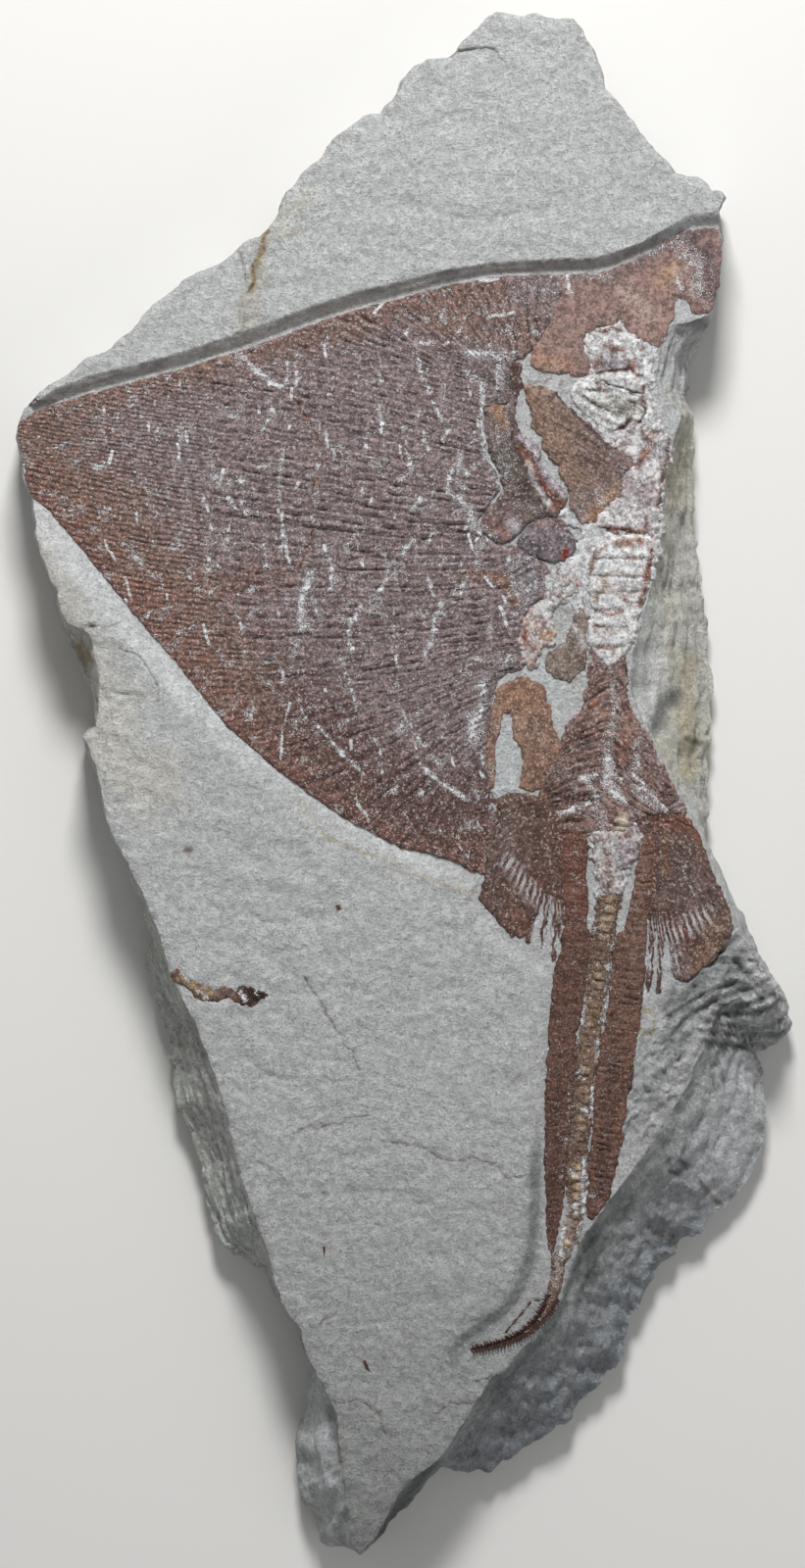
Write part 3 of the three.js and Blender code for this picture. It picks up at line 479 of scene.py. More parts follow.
for drop, *line in FLAKES:
    line = np.array(line, float)
    nearest = np.full(len(flat), np.inf)
    lower = np.zeros(len(flat))
    for a, b in zip(line[:-1], line[1:]):
        along = np.clip((shaken - a) @ (b - a) / ((b - a) @ (b - a)), 0, 1)
        offset = shaken - a - along[:, None] * (b - a)
        span = np.linalg.norm(offset, axis=1)
        turn = (b - a)[0] * offset[:, 1] - (b - a)[1] * offset[:, 0]
        lower = np.where(span < nearest, turn < 0, lower)
        nearest = np.minimum(nearest, span)
    fade = np.clip(1 - nearest / 9, 0, 1)
    relief -= drop * fade * fade * lower * (1 - in_pocket)
relief += near(flat, [(48, -70), (48, -100), (46, -150)], 14) * in_pocket * 0.1
relief = np.clip(relief, -4, 1.7)
under_ray = deep_inside(flat, 0.2)
relief = np.where(under_ray, np.minimum(relief, 0) * 0.3 - 0.15, relief)
pocket_floor = in_pocket > 0.9
relief = np.where(pocket_floor, relief * (0.35 + 0.65 * np.clip(bared * 2, 0, 1)), relief)
crushed = near(flat, CRUSHED, 17) * pocket_floor
relief += crushed * rough(flat, 3.2, 3, 61) * 0.3
height = height + relief

# The flanks: rows from the crest out to the rim and down to the underside
ring_count = len(crest)
crest_height = height[:ring_count]
share = np.linspace(0, 1, FLANK_ROWS + 1)[1:, None]
broad = np.linalg.norm(rim - crest, axis=1)
at = middle_share[None]
level = middle_z[None] + np.clip((broad - 12) / 8, 0, 1) * FLANK_SWELL
profile = np.where(
    share < at,
    crest_height + (level - crest_height) * share / at,
    level + (RIM_Z - level) * (share - at) / (1 - at),
)
plan = crest[None] + (rim - crest)[None] * share[:, :, None]
flank = np.concatenate([plan, profile[:, :, None]], 2)
down_rows = np.gradient(flank, axis=0)
round_edge = np.roll(flank, -1, 1) - np.roll(flank, 1, 1)
normal = np.cross(round_edge, down_rows)
normal /= np.linalg.norm(normal, axis=2)[:, :, None] + 1e-9
normal *= np.sign((normal[:, :, :2] * outward[None]).sum(2).mean())

# Relief of the flanks: facets, layers, grit, chips, and knobs where the stone is most rugged
spots = flank.reshape(-1, 3)
above = spots[:, :2]
breadth = np.clip(broad / 12, 0.25, 1)
facets = rough(spots, 15, 3, 31)
layers = np.tanh(2.6 * rough(spots, 1.0, 3, 37, (0.05, 0.05, 0.42)))
grit = rough(spots, 2.2, 3, 41)
chips = np.abs(rough(spots, 6, 3, 39, (0.7, 0.7, 1.6)))
knobs = rough(spots, 5.0, 4, 45)
rugged = near(above, [(92, -150), (80, -165), (60, -195), (30, -215)], 34)
lump = near(above, [(-28, -203), (-23, -242)], 24)
bulge = facets * (1.7 - 0.8 * (spots[:, 0] < -40)) + layers * 0.7 * (1 - rugged) * (1 - lump)
bulge = bulge + grit * 0.5 * (1 - 0.7 * lump)
bulge += (knobs * rugged * 2.0 - chips * 0.7 * (1 - lump)
          + np.tanh(3 * rough(above, *BUMP_GRAIN)) * near(above, BUMP_SIDE, 20) * 0.5)
seam_shake = 0.35 * rough(above, 4, 3, 77)
for line in SEAMS:
    bulge -= 1.3 * near(above, line, 1.6, seam_shake)
bulge = bulge.reshape(FLANK_ROWS, ring_count)
bulge *= np.minimum(1, share * 7) * (0.35 + 0.65 * breadth)[None]
flank = flank + normal * bulge[:, :, None]
foot = []
for k in range(1, FOOT_ROWS + 1):
    lower = k / FOOT_ROWS
    ring = flank[-1].copy()
    ring[:, :2] *= 1 - (1 - FOOT_SCALE) * lower
    ring[:, 2] = ring[:, 2] * (1 - lower)
    ring[:, :2] += outward * (rough(ring, 6, 3, 43 + k) * 0.5 * (lower < 1))[:, None]
    foot.append(ring)
rings = np.concatenate([flank, np.array(foot)], 0)

points = np.vstack([np.column_stack([flat, height]), rings.reshape(-1, 3)])
faces = [tuple(face) for face in triangles]
top_count = len(flat)
previous = list(range(ring_count))
for k in range(len(rings)):
    current = [top_count + k * ring_count + i for i in range(ring_count)]
    for i in range(ring_count):
        j = (i + 1) % ring_count
        faces.append((previous[i], previous[j], current[j], current[i]))
    previous = current
faces.append(tuple(previous))

slab_mesh = bpy.data.meshes.new("limestone_slab")
slab_mesh.from_pydata((points * MM).tolist(), [], faces)

# Colours of the stone
STONE = (227, 229, 228)
STONE_SHADED_LOW = (164, 166, 164)
CHALK = (222, 223, 222)
OLIVE = (232, 228, 212)
BLUE_GREY = (176, 181, 186)
DARK_GREY = (92, 94, 95)
OCHRE = (184, 160, 112)
CREAM = (214, 206, 184)
BROWN = (104, 72, 50)


def on_top(values):
    """Values of the top's points, with 0 on the flanks and the underside."""
    padded = np.zeros(len(points))
    padded[:top_count] = values
    return padded


def paint(mesh, label, values):
    """A colour or a number painted on every point of a mesh."""
    if np.ndim(values) == 2:
        values = np.column_stack([values, np.ones(len(values))]).ravel()
        mesh.attributes.new(label, "FLOAT_COLOR", "POINT").data.foreach_set("color", values)
    else:
        mesh.attributes.new(label, "FLOAT", "POINT").data.foreach_set("value", values)


spots = points[:, :2]
tint = np.tile(srgb(*STONE), (len(points), 1))
# painted shade: the stone darkens towards the bottom, where the light falls off
falloff_shade = np.clip((40 - spots[:, 1]) / 280, 0, 1)
tint = blended(tint, STONE_SHADED_LOW, falloff_shade ** 3)
is_flank = np.ones(len(points))
is_flank[:top_count] = 0
# (colour, strength, reach, only on the flanks, [x, y], ...): stains, and painted shade and
# highlights where marked
STAINS_AND_PAINTED_LIGHT = [
    ((240, 236, 226), 0.8, 16, 0, (-116, 80), (-108, 52), (-98, 30), (-92, 8), (-80, 0)),
    # pale scraped bevel behind the wing, painted brighter still as a highlight where it faces the
    # light
    ((252, 254, 255), 1.0, 7.5, 0, (-117, 86), (-108, 74.5), (-98, 63), (-88, 51), (-79.5, 40),
     (-72, 31),
     (-62, 23), (-50, 13), (-34, 3), (-12, -14), (8, -26)),
    ((236, 240, 242), 0.9, 14, 0, (28, -4), (34, 22), (46, 30)),
    ((236, 239, 232), 1.0, 26, 1, (-84, -48), (-72, -90), (-66, -125), (-52, -150)),
    (DARK_GREY, 0.3, 4, 1, (-68, -72), (-64, -86)),
    (BLUE_GREY, 1.0, 34, 1, (104, -125), (80, -160), (62, -190), (35, -210), (18, -216)),
    # painted shade: a dark band down the lower right flank just below its crest
    (DARK_GREY, 0.4, 8, 1, (80, -114), (70, -128), (54, -155), (44, -175), (28, -194)),
    (DARK_GREY, 0.8, 6, 1, (60, -146), (58, -157)),
    (OLIVE, 1.0, 22, 1, (90, 110), (90, 60), (92, 10)),
    (CHALK, 0.7, 12, 1, (90, 80), (93, 60), (95, 30)),
    # smooth pale tongue on the bench, painted brighter as a highlight where it is lit
    ((250, 250, 248), 1.0, 5, 1, (80, 47), (80, 32), (77.5, 20)),
    (DARK_GREY, 0.5, 3, 1, (73, 46), (72.5, 32)),
    ((240, 236, 226), 0.8, 4, 1, (93, 112), (94.5, 60), (98, 30), (97, 5), (96, -14)),
    ((216, 202, 164), 0.5, 5, 1, (91, 40), (90, 4)),
    (DARK_GREY, 0.8, 4.5, 1, (80, 19), (82, 25), (87, 28.5)),
    # painted shadow in the notch on the bench
    ((110, 98, 78), 0.95, 1.9, 1, (90, 14.5), (92.5, 14), (95, 13)),
    ((232, 234, 236), 1.0, 21, 1, (106, -92), (103, -126)),
    # painted shadow under the small undercut ledge below the corner of the snout
    (DARK_GREY, 0.6, 4, 1, (90, 148), (97, 147)),
    ((232, 236, 238), 0.95, 16, 1, (-30, -196), (-24, -240)),
    (DARK_GREY, 0.5, 3, 1, (-24, -199), (-22.5, -208)),
    ((150, 128, 100), 0.8, 1.8, 1, (-21, -206), (-20.5, -216)),
    (DARK_GREY, 0.7, 5, 1, (9, -217), (-8, -240)),
    (OCHRE, 0.8, 1.6, 0, (-44, 179), (-45.5, 170), (-48, 163), (-49, 157)),
    (OCHRE, 0.28, 6, 0, (-47, 165), (-49, 156), (-50, 144)),
    (CREAM, 0.8, 0.9, 0, (-46, 172), (-40, 174), (-32, 177)),
    (OLIVE, 0.45, 6, 0, (-40, 180), (-32, 186)),
    (CREAM, 0.9, 1.4, 0, (51.5, 158), (51.5, 168)),
    (OCHRE, 0.7, 4, 0, (-104, 44), (-102, 40)),
    (CREAM, 0.8, 1.0, 0, (-35, -5), (-25, -17), (-5, -25), (10, -31), (25, -36)),
    (BROWN, 0.8, 1.2, 0, (-113, 81.5)),
    (BROWN, 0.9, 0.9, 0, (-94.7, 27)),
    (BROWN, 0.9, 1.0, 0, (-69.6, -21.2), (-68.2, -20.8)),
    (BROWN, 0.9, 0.8, 0, (35, -93.5), (35.2, -95.5)),
    (BROWN, 0.7, 0.9, 0, (39, -148.5)),
    (BROWN, 0.9, 0.9, 0, (26.6, -169.8), (27.6, -169.2)),
    (OCHRE, 0.8, 1.2, 0, (41.5, -122.5)),
    (OCHRE, 0.7, 1.1, 0, (75, -73), (78, -72), (80, -75), (79, -79.5), (75.5, -80), (74.6, -76)),
    (DARK_GREY, 0.8, 1.3, 0, (84, -121), (87, -119.5), (90, -122), (88, -125), (84.5, -124)),
    (DARK_GREY, 0.7, 0.9, 0, (98, -90), (101, -89.5), (101.8, -95), (99, -98), (98.2, -93)),
    (BROWN, 0.6, 1.5, 0, (80, -144), (83, -145.5), (86, -146)),
    (BROWN, 0.6, 1.2, 0, (94.5, -127.5), (99, -133), (102, -136)),
    # painted shade on the slope of the bared layers right of the tail, and between them and the fin
    ((166, 168, 168), 0.6, 16, 0, (78, -108), (88, -86), (104, -64)),
    ((128, 130, 130), 0.6, 7, 0, (84, -72), (96, -60), (108, -54)),
    (CHALK, 0.6, 4, 0, (72, -120), (82, -102), (92, -84), (98, -74)),
    (CHALK, 0.8, 3.5, 0, (108, -46), (116, -60), (122, -74)),
    ((226, 228, 228), 0.7, 12, 1, (104, -72), (118, -80)),
    # painted shadow under the bump
    (DARK_GREY, 0.35, 5, 1, (98, -78), (104, -84)),
    # painted shade on the wall of the pocket left of the tail
    ((146, 151, 153), 0.6, 4.6, 0, (41.8, -118), (41.8, -128), (41.4, -142), (39.6, -153),
     (34.4, -163),
     (28.4, -169.5), (21, -176), (15.5, -181)),
    ((238, 242, 236), 0.9, 14, 1, (-62, -132), (-50, -152)),
]
shaken_spots = spots + sway_of(spots)
for depth, width, *line in CRACKS:
    share = np.clip(1 - distance_to(shaken_spots, line) / (width * 1.1), 0, 1)
    tint = blended(tint, (120, 112, 102), share * min(1, depth + 0.1))
wobble = rough(points, 6, 3, 47)
for colour, strength, reach, flanks_only, *line in STAINS_AND_PAINTED_LIGHT:
    amount = strength * near(spots, line, reach, np.minimum(wobble, 0.8) * reach * 0.35)
    tint = blended(tint, colour, amount * (is_flank if flanks_only else 1))
# the bared layers catch the light on their edges and are dark behind them
scaly = near(spots, BARED_LAYERS, BARED_REACH)
tint *= (1 + scaly * 0.5 * rough(spots @ BARED_TURN, 2.6, 4, 71, (0.4, 1.0)))[:, None]
# painted shadow in the seams between the layers of the bump
seam_shake = 0.35 * rough(spots, 4, 3, 77)
seam_shadows = np.max([near(spots, line, 1.5, seam_shake) for line in SEAMS], axis=0)
tint = blended(tint, (84, 84, 84), seam_shadows * 0.7)
# brown flecks in the crushed chalk between the bones
flecks = on_top(crushed * (1 - under_ray))
veins = 1 - np.clip(np.abs(rough(spots, 7, 3, 63)) / 0.09, 0, 1)
crumbs = np.clip(rough(spots, 2.2, 2, 67) * 2.2 - 0.5, 0, 1)
tint = blended(tint, (232, 234, 236), flecks * 0.6)
tint = blended(tint, (140, 104, 84), flecks * np.clip(veins * 0.75 + crumbs * 0.6, 0, 0.85))
# the ground bevel behind the wing, and painted shade on the walls beside the tail and in front of
# the wing
bevel = on_top(in_pocket) * 0.35
tint = blended(tint, CHALK, bevel * np.clip((spots[:, 1] + 70) / 30, 0.25, 1))
walls = on_top(on_wall)
tail_wall_shade = walls * (distance_to(spots, TAIL_WALL) < 7) * np.clip((-100 - spots[:, 1]) / 30, 0, 1)
tint = blended(tint, (150, 152, 153), tail_wall_shade * 0.6)
front_wall_shade = walls * (distance_to(spots, FRONT_WALL) < 6)
tint = blended(tint, (186, 182, 179), np.clip(front_wall_shade * (0.9 + 0.3 * wobble), 0, 1))
layered = 0.35 * near(spots, [(-84, -45), (-72, -90), (-66, -125), (-50, -156)], 34)
layered = np.maximum(layered, near(spots, [(104, -60), (116, -78)], 22))
layered = np.maximum(layered, 0.15 * near(spots, [(95, 135), (94, 60), (98, 10)], 24))
paint(slab_mesh, "Tint", tint)
paint(slab_mesh, "Flank", is_flank)
paint(slab_mesh, "Layered", layered)


def grow(tree, kind, sockets=None, **settings):
    """A node with its settings, its plain values set and its links made."""
    node = tree.nodes.new(kind)
    for name, value in settings.items():
        setattr(node, name, value)
    for name, value in (sockets or {}).items():
        if isinstance(value, bpy.types.NodeSocket):
            tree.links.new(value, node.inputs[name])
        else:
            node.inputs[name].default_value = value
    return node


def effect(name, inputs, outputs):
    """A shader node group with its named sockets, and the sockets at its two ends."""
    group = bpy.data.node_groups.new(name, "ShaderNodeTree")
    for label, kind, value in inputs:
        socket = group.interface.new_socket(
            label, in_out="INPUT", socket_type="NodeSocket" + kind)
        if value is not None:
            socket.default_value = value
    for label, kind in outputs:
        group.interface.new_socket(label, in_out="OUTPUT", socket_type="NodeSocket" + kind)
    ends = group.nodes.new("NodeGroupInput").outputs
    return group, ends, group.nodes.new("NodeGroupOutput").inputs


def math_node(tree, operation, a, b=0.0, c=0.0, clamp=False):
    """Result of one sum on one to three values."""
    return grow(tree, "ShaderNodeMath", {0: a, 1: b, 2: c}, operation=operation,
                use_clamp=clamp).outputs[0]


def vector_node(tree, operation, a, b):
    """Result of one sum on two places."""
    return grow(tree, "ShaderNodeVectorMath", {0: a, 1: b}, operation=operation).outputs[0]


def clouds(tree, place, scale, detail=2.0, roughness=0.5):
    """Soft noise, as a value and as a colour."""
    return grow(tree, "ShaderNodeTexNoise", {"Vector": place, "Scale": scale, "Detail": detail,
                                             "Roughness": roughness}).outputs


def ramp(tree, value, low, high, to_low=0.0, to_high=1.0):
    """A value mapped smoothly from one range to another."""
    return grow(tree, "ShaderNodeMapRange", {0: value, 1: low, 2: high, 3: to_low, 4: to_high},
                interpolation_type="SMOOTHSTEP").outputs[0]


def mixed(tree, share, a, b, blend="MIX"):
    """Two colours mixed by a share."""
    node = tree.nodes.new("ShaderNodeMix")
    node.data_type, node.blend_type = "RGBA", blend
    for socket, value in ((node.inputs[0], share), (node.inputs[6], a), (node.inputs[7], b)):
        if isinstance(value, bpy.types.NodeSocket):
            tree.links.new(value, socket)
        elif socket.type == "RGBA":
            socket.default_value = (*value, 1)
        else:
            socket.default_value = value
    return node.outputs[2]


def placed(tree, group, **sockets):
    """The outputs of an effect placed in a material, with an underscore for a socket's space."""
    return grow(tree, "ShaderNodeGroup", {k.replace("_", " "): v for k, v in sockets.items()},
                node_tree=group).outputs


def painted_value(tree, label):
    """A number painted on the mesh."""
    return grow(tree, "ShaderNodeAttribute", attribute_name=label).outputs["Fac"]


# Grain: fine noise at one size, its tone, its light and dark granules, and its height
grain_group, ends, out = effect(
    "mineral_grain",
    [("Position", "Vector", None), ("Size mm", "Float", 0.6), ("Stretch", "Float", 1.0)],
    [("Tone", "Float"), ("Light", "Float"), ("Dark", "Float"), ("Height", "Float")])
scale = math_node(grain_group, "DIVIDE", 1000.0, ends["Size mm"])
pull = grow(grain_group, "ShaderNodeCombineXYZ", {0: 1.0, 1: ends["Stretch"], 2: 1.0}).outputs[0]
place = vector_node(grain_group, "MULTIPLY", ends["Position"], pull)
fine_noise = clouds(grain_group, place, scale, 4.0, 0.7)[0]
wide_scale = math_node(grain_group, "MULTIPLY", scale, 0.31)
wide_noise = clouds(grain_group, place, wide_scale, 4.0, 0.6)[0]
both = math_node(grain_group, "MULTIPLY_ADD", fine_noise, 0.55,
                 math_node(grain_group, "MULTIPLY", wide_noise, 0.45))
grain_group.links.new(ramp(grain_group, both, 0.36, 0.64), out["Tone"])
grain_group.links.new(ramp(grain_group, fine_noise, 0.56, 0.66), out["Light"])
grain_group.links.new(ramp(grain_group, fine_noise, 0.44, 0.33), out["Dark"])
grain_group.links.new(both, out["Height"])

# Chips: small flakes of the split face, each at its own level, at two sizes
chips_group, ends, out = effect(
    "split_chips", [("Position", "Vector", None), ("Size mm", "Float", 4.0)], [("Height", "Float")])
scale = math_node(chips_group, "DIVIDE", 1000.0, ends["Size mm"])
bend = clouds(chips_group, ends["Position"], scale, 4.0, 0.6)[1]
bend = vector_node(chips_group, "SUBTRACT", bend, (0.5, 0.5, 0.5))
reach = math_node(chips_group, "DIVIDE", 1.6, scale)
bend = grow(chips_group, "ShaderNodeVectorMath", {0: bend, "Scale": reach},
            operation="SCALE").outputs[0]
place = vector_node(chips_group, "ADD", ends["Position"], bend)
levels = []
for size in (scale, math_node(chips_group, "MULTIPLY", scale, 2.4)):
    cells = grow(chips_group, "ShaderNodeTexVoronoi", {"Vector": place, "Scale": size})
    levels.append(grow(chips_group, "ShaderNodeSeparateColor",
                       {0: cells.outputs["Color"]}).outputs[0])
chips_group.links.new(math_node(chips_group, "MULTIPLY_ADD", levels[1], 0.45, levels[0]),
                      out["Height"])


def new_material(name, roughness, specular=0.25):
    """An empty material with its shader, position and painted colour ready."""
    material = bpy.data.materials.new(name)
    material.use_nodes = True
    tree = material.node_tree
    shader = tree.nodes["Principled BSDF"]
    shader.inputs["Roughness"].default_value = roughness
    shader.inputs["Specular IOR Level"].default_value = specular
    position = grow(tree, "ShaderNodeTexCoord").outputs["Object"]
    painted = grow(tree, "ShaderNodeAttribute", attribute_name="Tint").outputs["Color"]
    return material, tree, shader, position, painted


limestone, tree, shader, position, painted = new_material("limestone", 0.92, 0.2)
grain = placed(tree, grain_group, Position=position, Size_mm=0.65, Stretch=1.0)
pits = placed(tree, grain_group, Position=position, Size_mm=1.2, Stretch=1.15)
colour = mixed(tree, 1.0, painted, ramp(tree, grain["Tone"], 0, 1, 0.80, 1.14), "MULTIPLY")
colour = mixed(tree, 1.0, colour, ramp(tree, pits["Tone"], 0, 1, 0.91, 1.07), "MULTIPLY")
colour = mixed(tree, math_node(tree, "MULTIPLY", grain["Dark"], 0.25), colour,
               srgb(124, 122, 118))
broken = painted_value(tree, "Flank")
layer_place = vector_node(tree, "MULTIPLY", position, (0.12, 0.12, 1.5))
layers = placed(tree, grain_group, Position=layer_place, Size_mm=0.8)
strata = placed(tree, grain_group, Position=position, Size_mm=2.4)
tone = grow(tree, "ShaderNodeMix", {
    0: painted_value(tree, "Layered"), 2: ramp(tree, strata["Tone"], 0, 1, 0.91, 1.08),
    3: ramp(tree, layers["Tone"], 0, 1, 0.62, 1.22)}).outputs[0]
shade = mixed(tree, 1.0, colour, tone, "MULTIPLY")
tree.links.new(mixed(tree, broken, colour, shade), shader.inputs["Base Color"])
chip_levels = placed(tree, chips_group, Position=position, Size_mm=4.0)
bump = grow(tree, "ShaderNodeBump", {
    "Strength": 1.0, "Distance": 0.004,
    "Height": math_node(tree, "MULTIPLY", strata["Height"], broken)})
for distance, relief_of in ((0.0003, chip_levels), (0.0028, pits), (0.0017, grain)):
    bump = grow(tree, "ShaderNodeBump", {
        "Strength": 1.0, "Distance": distance, "Height": relief_of["Height"],
        "Normal": bump.outputs[0]})
tree.links.new(bump.outputs[0], shader.inputs["Normal"])


def lay_flat(mesh, places):
    """UV map for baking: the top from above, sides folded out, underside small beside it."""
    low, side = places.min(0), np.ptp(places, axis=0).max()
    share = (places - low) / side
    corners = np.empty(len(mesh.loops), int)
    mesh.loops.foreach_get("vertex_index", corners)
    below = np.zeros(len(mesh.loops), bool)
    for face in mesh.polygons:
        if face.normal.z < -0.9:
            below[face.loop_indices] = True
    uv = 0.005 + 0.88 * share[corners]
    tall = np.ptp(places[:, 1]) >= np.ptp(places[:, 0])
    uv[below] = 0.1 * share[corners[below]] + ((0.895, 0.005) if tall else (0.005, 0.895))
    mesh.uv_layers.new(name="OFBake").uv.foreach_set("vector", uv.ravel())


def finish(name, mesh, material, nodes, sharp=None):
    """Puts a finished mesh in the scene as a piece that stands for its CAD nodes."""
    mesh.materials.append(material)
    mesh.shade_smooth()
    if sharp:
        mesh.set_sharp_from_angle(angle=math.radians(sharp))
    piece = bpy.data.objects.new(name, mesh)
    bpy.context.scene.collection.objects.link(piece)
    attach(piece, "root")
    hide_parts(*nodes)


slab_mesh.validate()
slab_shell = bmesh.new()
slab_shell.from_mesh(slab_mesh)
bmesh.ops.recalc_face_normals(slab_shell, faces=slab_shell.faces)
slab_shell.to_mesh(slab_mesh)
slab_shell.free()
fold = np.linspace(0, 1, len(rings) + 1)[1:, None, None]
unfolded = crest[None] + (rim - crest)[None] * fold + outward[None] * fold * 34
lay_flat(slab_mesh, np.vstack([flat, unfolded.reshape(-1, 2)]))
finish("limestone_slab", slab_mesh, limestone, ["matrix_slab"], sharp=50)

# ----------------------------------------------------------------------------------------------
# The wing: the ray's left pectoral fin, a film of brown mineral less than a millimetre thick.
# Its fin rays fan out from the shoulder, fork on the way and are crossed by white joints.
# ----------------------------------------------------------------------------------------------

WING_STEP = 0.49
FILM_TOP = 0.75          # how far a film stands above the pocket's floor
WING_MAUVE = (127, 112, 111)
WING_RUST = (123, 95, 84)
WING_RED = (121, 86, 74)

# Guide rays from the shoulder to the margin: (ray number, [x, y], ...)
WING_RAYS = [
    (0, (46, 134), (46, 148), (48, 165)),
    (4, (37, 136), (35, 150), (33, 165)),
    (8, (30, 135), (25, 146), (16, 164)),
    (12, (28, 133), (18, 142.5), (3, 161)),
    (17, (25, 132), (8, 139.5), (-17, 156)),
    (21, (24, 128), (4, 134), (-22, 142), (-42, 148)),
    (25, (26, 119), (0, 127), (-30, 134), (-68, 140)),
    (29, (26, 109), (0, 116.5), (-30, 123), (-60, 127.5), (-94, 132)),
    (33, (26, 100), (0, 105.5), (-30, 111), (-60, 115.5), (-90, 120), (-113, 125)),
    (37, (29, 91), (0, 94.5), (-30, 99.5), (-60, 104), (-90, 109), (-127, 115)),
    (42, (25, 80), (0, 81), (-30, 85), (-60, 89), (-90, 95), (-126, 103)),
    (46, (27, 71), (0, 70.5), (-30, 72), (-60, 75), (-90, 80), (-122, 88)),
    (51, (34, 60), (0, 57), (-30, 56), (-60, 58), (-100, 65)),
    (55, (38, 50), (15, 47), (-15, 43.5), (-50, 42.5), (-88, 47)),
    (60, (37, 42), (20, 38), (0, 33), (-30, 27.5), (-66, 22)),
    (65, (31, 33), (18, 29), (0, 22), (-22, 13.5), (-48, 4)),
    (69, (27, 25), (16, 19), (2, 9), (-14, -4), (-27, -12)),
    (73, (27, 17), (18, 10), (8, -4), (0, -15), (-6, -23)),
    (77, (27, 9), (21, 1), (16, -11), (11, -26)),
    (81, (29, 2), (26, -10), (23, -31)),
]

# White joints and veins: (strength, reach, [x, y], ...)
WING_CHALK = [
    (1.0, 1.1, (-52.5, 137), (-47, 131.5), (-40, 126.5)), (0.9, 0.8, (-40, 126.5), (-33, 130)),
    (0.9, 1.0, (3, 140.5), (9, 140.5)), (0.9, 0.9, (4, 138), (5, 131), (8, 125)),
    (1.0, 1.0, (9, 121), (12, 116)), (0.8, 0.9, (6, 112), (7, 107), (5, 104)),
    (0.9, 0.9, (14, 113), (12, 110)), (1.0, 1.1, (18, 106), (17, 101), (20, 99)),
    (0.9, 0.9, (1, 105), (2, 99), (-2, 97)), (0.8, 0.9, (-9, 132), (-7, 127)),
    (0.9, 1.0, (-8, 118), (-7, 111)), (0.8, 0.9, (-12, 109), (-13, 104)),
    (0.8, 1.2, (-18, 105), (-17, 101)), (0.8, 0.9, (-12.5, 96), (-14, 92)),
    (0.9, 1.1, (15, 100), (13, 94), (16, 91)), (1.0, 1.0, (5, 91), (2, 87)),
    (1.0, 1.3, (17, 91), (21, 88), (22, 82), (27, 78)), (0.7, 0.8, (-15, 81), (-19, 75)),
    (0.9, 1.0, (3, 78), (-1, 73)), (0.8, 0.9, (9, 80), (6, 75)),
    (0.9, 0.9, (-5, 70), (-7, 63), (-11, 58)), (0.9, 0.9, (7, 66), (9, 60)),
    (0.9, 0.9, (23, 78), (23, 68)), (0.9, 0.9, (20, 66), (17, 60)),
    (1.0, 1.0, (12, 58), (9, 52), (9, 47), (6, 41)), (0.9, 0.8, (-12, 55), (-6, 53.8)),
    (0.9, 1.1, (-14, 57), (-18, 49), (-17, 42)), (0.8, 1.0, (-19, 37), (-17, 29), (-15, 25)),
    (0.9, 1.0, (-26, 76), (-23, 69), (-24, 62)), (1.0, 1.7, (-30, 67), (-33, 60), (-33, 50)),
    (0.9, 1.2, (-29, 58), (-27, 53)), (0.8, 1.1, (-34, 45), (-37, 37)),
    (0.8, 1.0, (-34, 27), (-32, 21)), (0.9, 0.9, (-29, 20), (-22, 12), (-16, 6), (-13, 3)),
    (0.8, 1.1, (-11, 16), (-7, 11)), (0.9, 0.9, (-1, 23), (2, 18)), (0.9, 0.9, (3, 16), (6, 12)),
    (1.0, 1.0, (5, 6), (12, 0), (20, -5)), (0.9, 0.8, (-38.5, 107), (-40, 100), (-40, 90)),
    (0.9, 0.9, (-39.5, 88), (-38.5, 78), (-40, 73)), (0.9, 1.4, (-43, 122), (-42, 117)),
    (0.8, 1.1, (-43, 117), (-46, 112)), (0.9, 0.8, (-37, 133), (-38, 128)),
    (0.8, 1.0, (-52, 121), (-51, 115)), (0.7, 1.2, (-63, 109), (-61, 101), (-63, 96)),
    (0.8, 1.1, (-56, 97), (-57, 92), (-54, 88)), (0.7, 1.3, (-62, 85), (-62, 76), (-63, 66)),
    (0.7, 1.2, (-56, 83), (-57, 74)), (0.7, 1.1, (-52, 98), (-50, 84), (-52, 78)),
    (0.7, 1.2, (-45, 76), (-44, 69)), (0.6, 1.2, (-53, 62), (-54, 54), (-50, 47)),
    (0.5, 1.6, (-75, 96), (-76, 90)), (0.6, 1.5, (-70, 100), (-69, 84)),
    (0.6, 1.4, (-79, 114), (-79, 108)), (0.9, 0.9, (-84, 52.5), (-80, 55), (-75, 56.3)),
    (0.5, 1.0, (-75, 56.3), (-62, 60)), (0.8, 1.4, (-122, 105), (-119, 102)),
    (0.9, 2.2, (20, 137.5), (27, 137), (33, 135.5)), (0.9, 1.8, (30, 133), (30, 126)),
    (1.0, 1.3, (24.5, 128), (25, 118), (25.4, 104)), (0.8, 1.6, (28, 97), (31, 95)),
    (0.9, 1.2, (31, 95), (28, 88), (24, 84)), (0.8, 1.4, (33, 72), (34, 66), (36, 60)),
    (0.7, 3.0, (41, 64), (38, 58)), (0.9, 3.6, (22, 21), (22, 14)), (0.8, 2.8, (25, 34), (24, 22)),
    (0.8, 1.6, (24, 10), (26, 5)), (0.6, 2.5, (30, 37), (34, 40)), (0.6, 1.2, (28, -16), (26, -26)),
    (0.5, 1.4, (10, -14), (18, -18)), (0.7, 0.9, (-27.5, 117), (-27, 107), (-28, 97)),
    (0.8, 1.0, (-31, 96), (-28.5, 89), (-30, 82)), (0.6, 2.2, (35, 158), (48, 157)),
    (0.5, 3.0, (22, 150), (36, 154)), (0.4, 3.0, (-5, 146), (12, 150)),
]

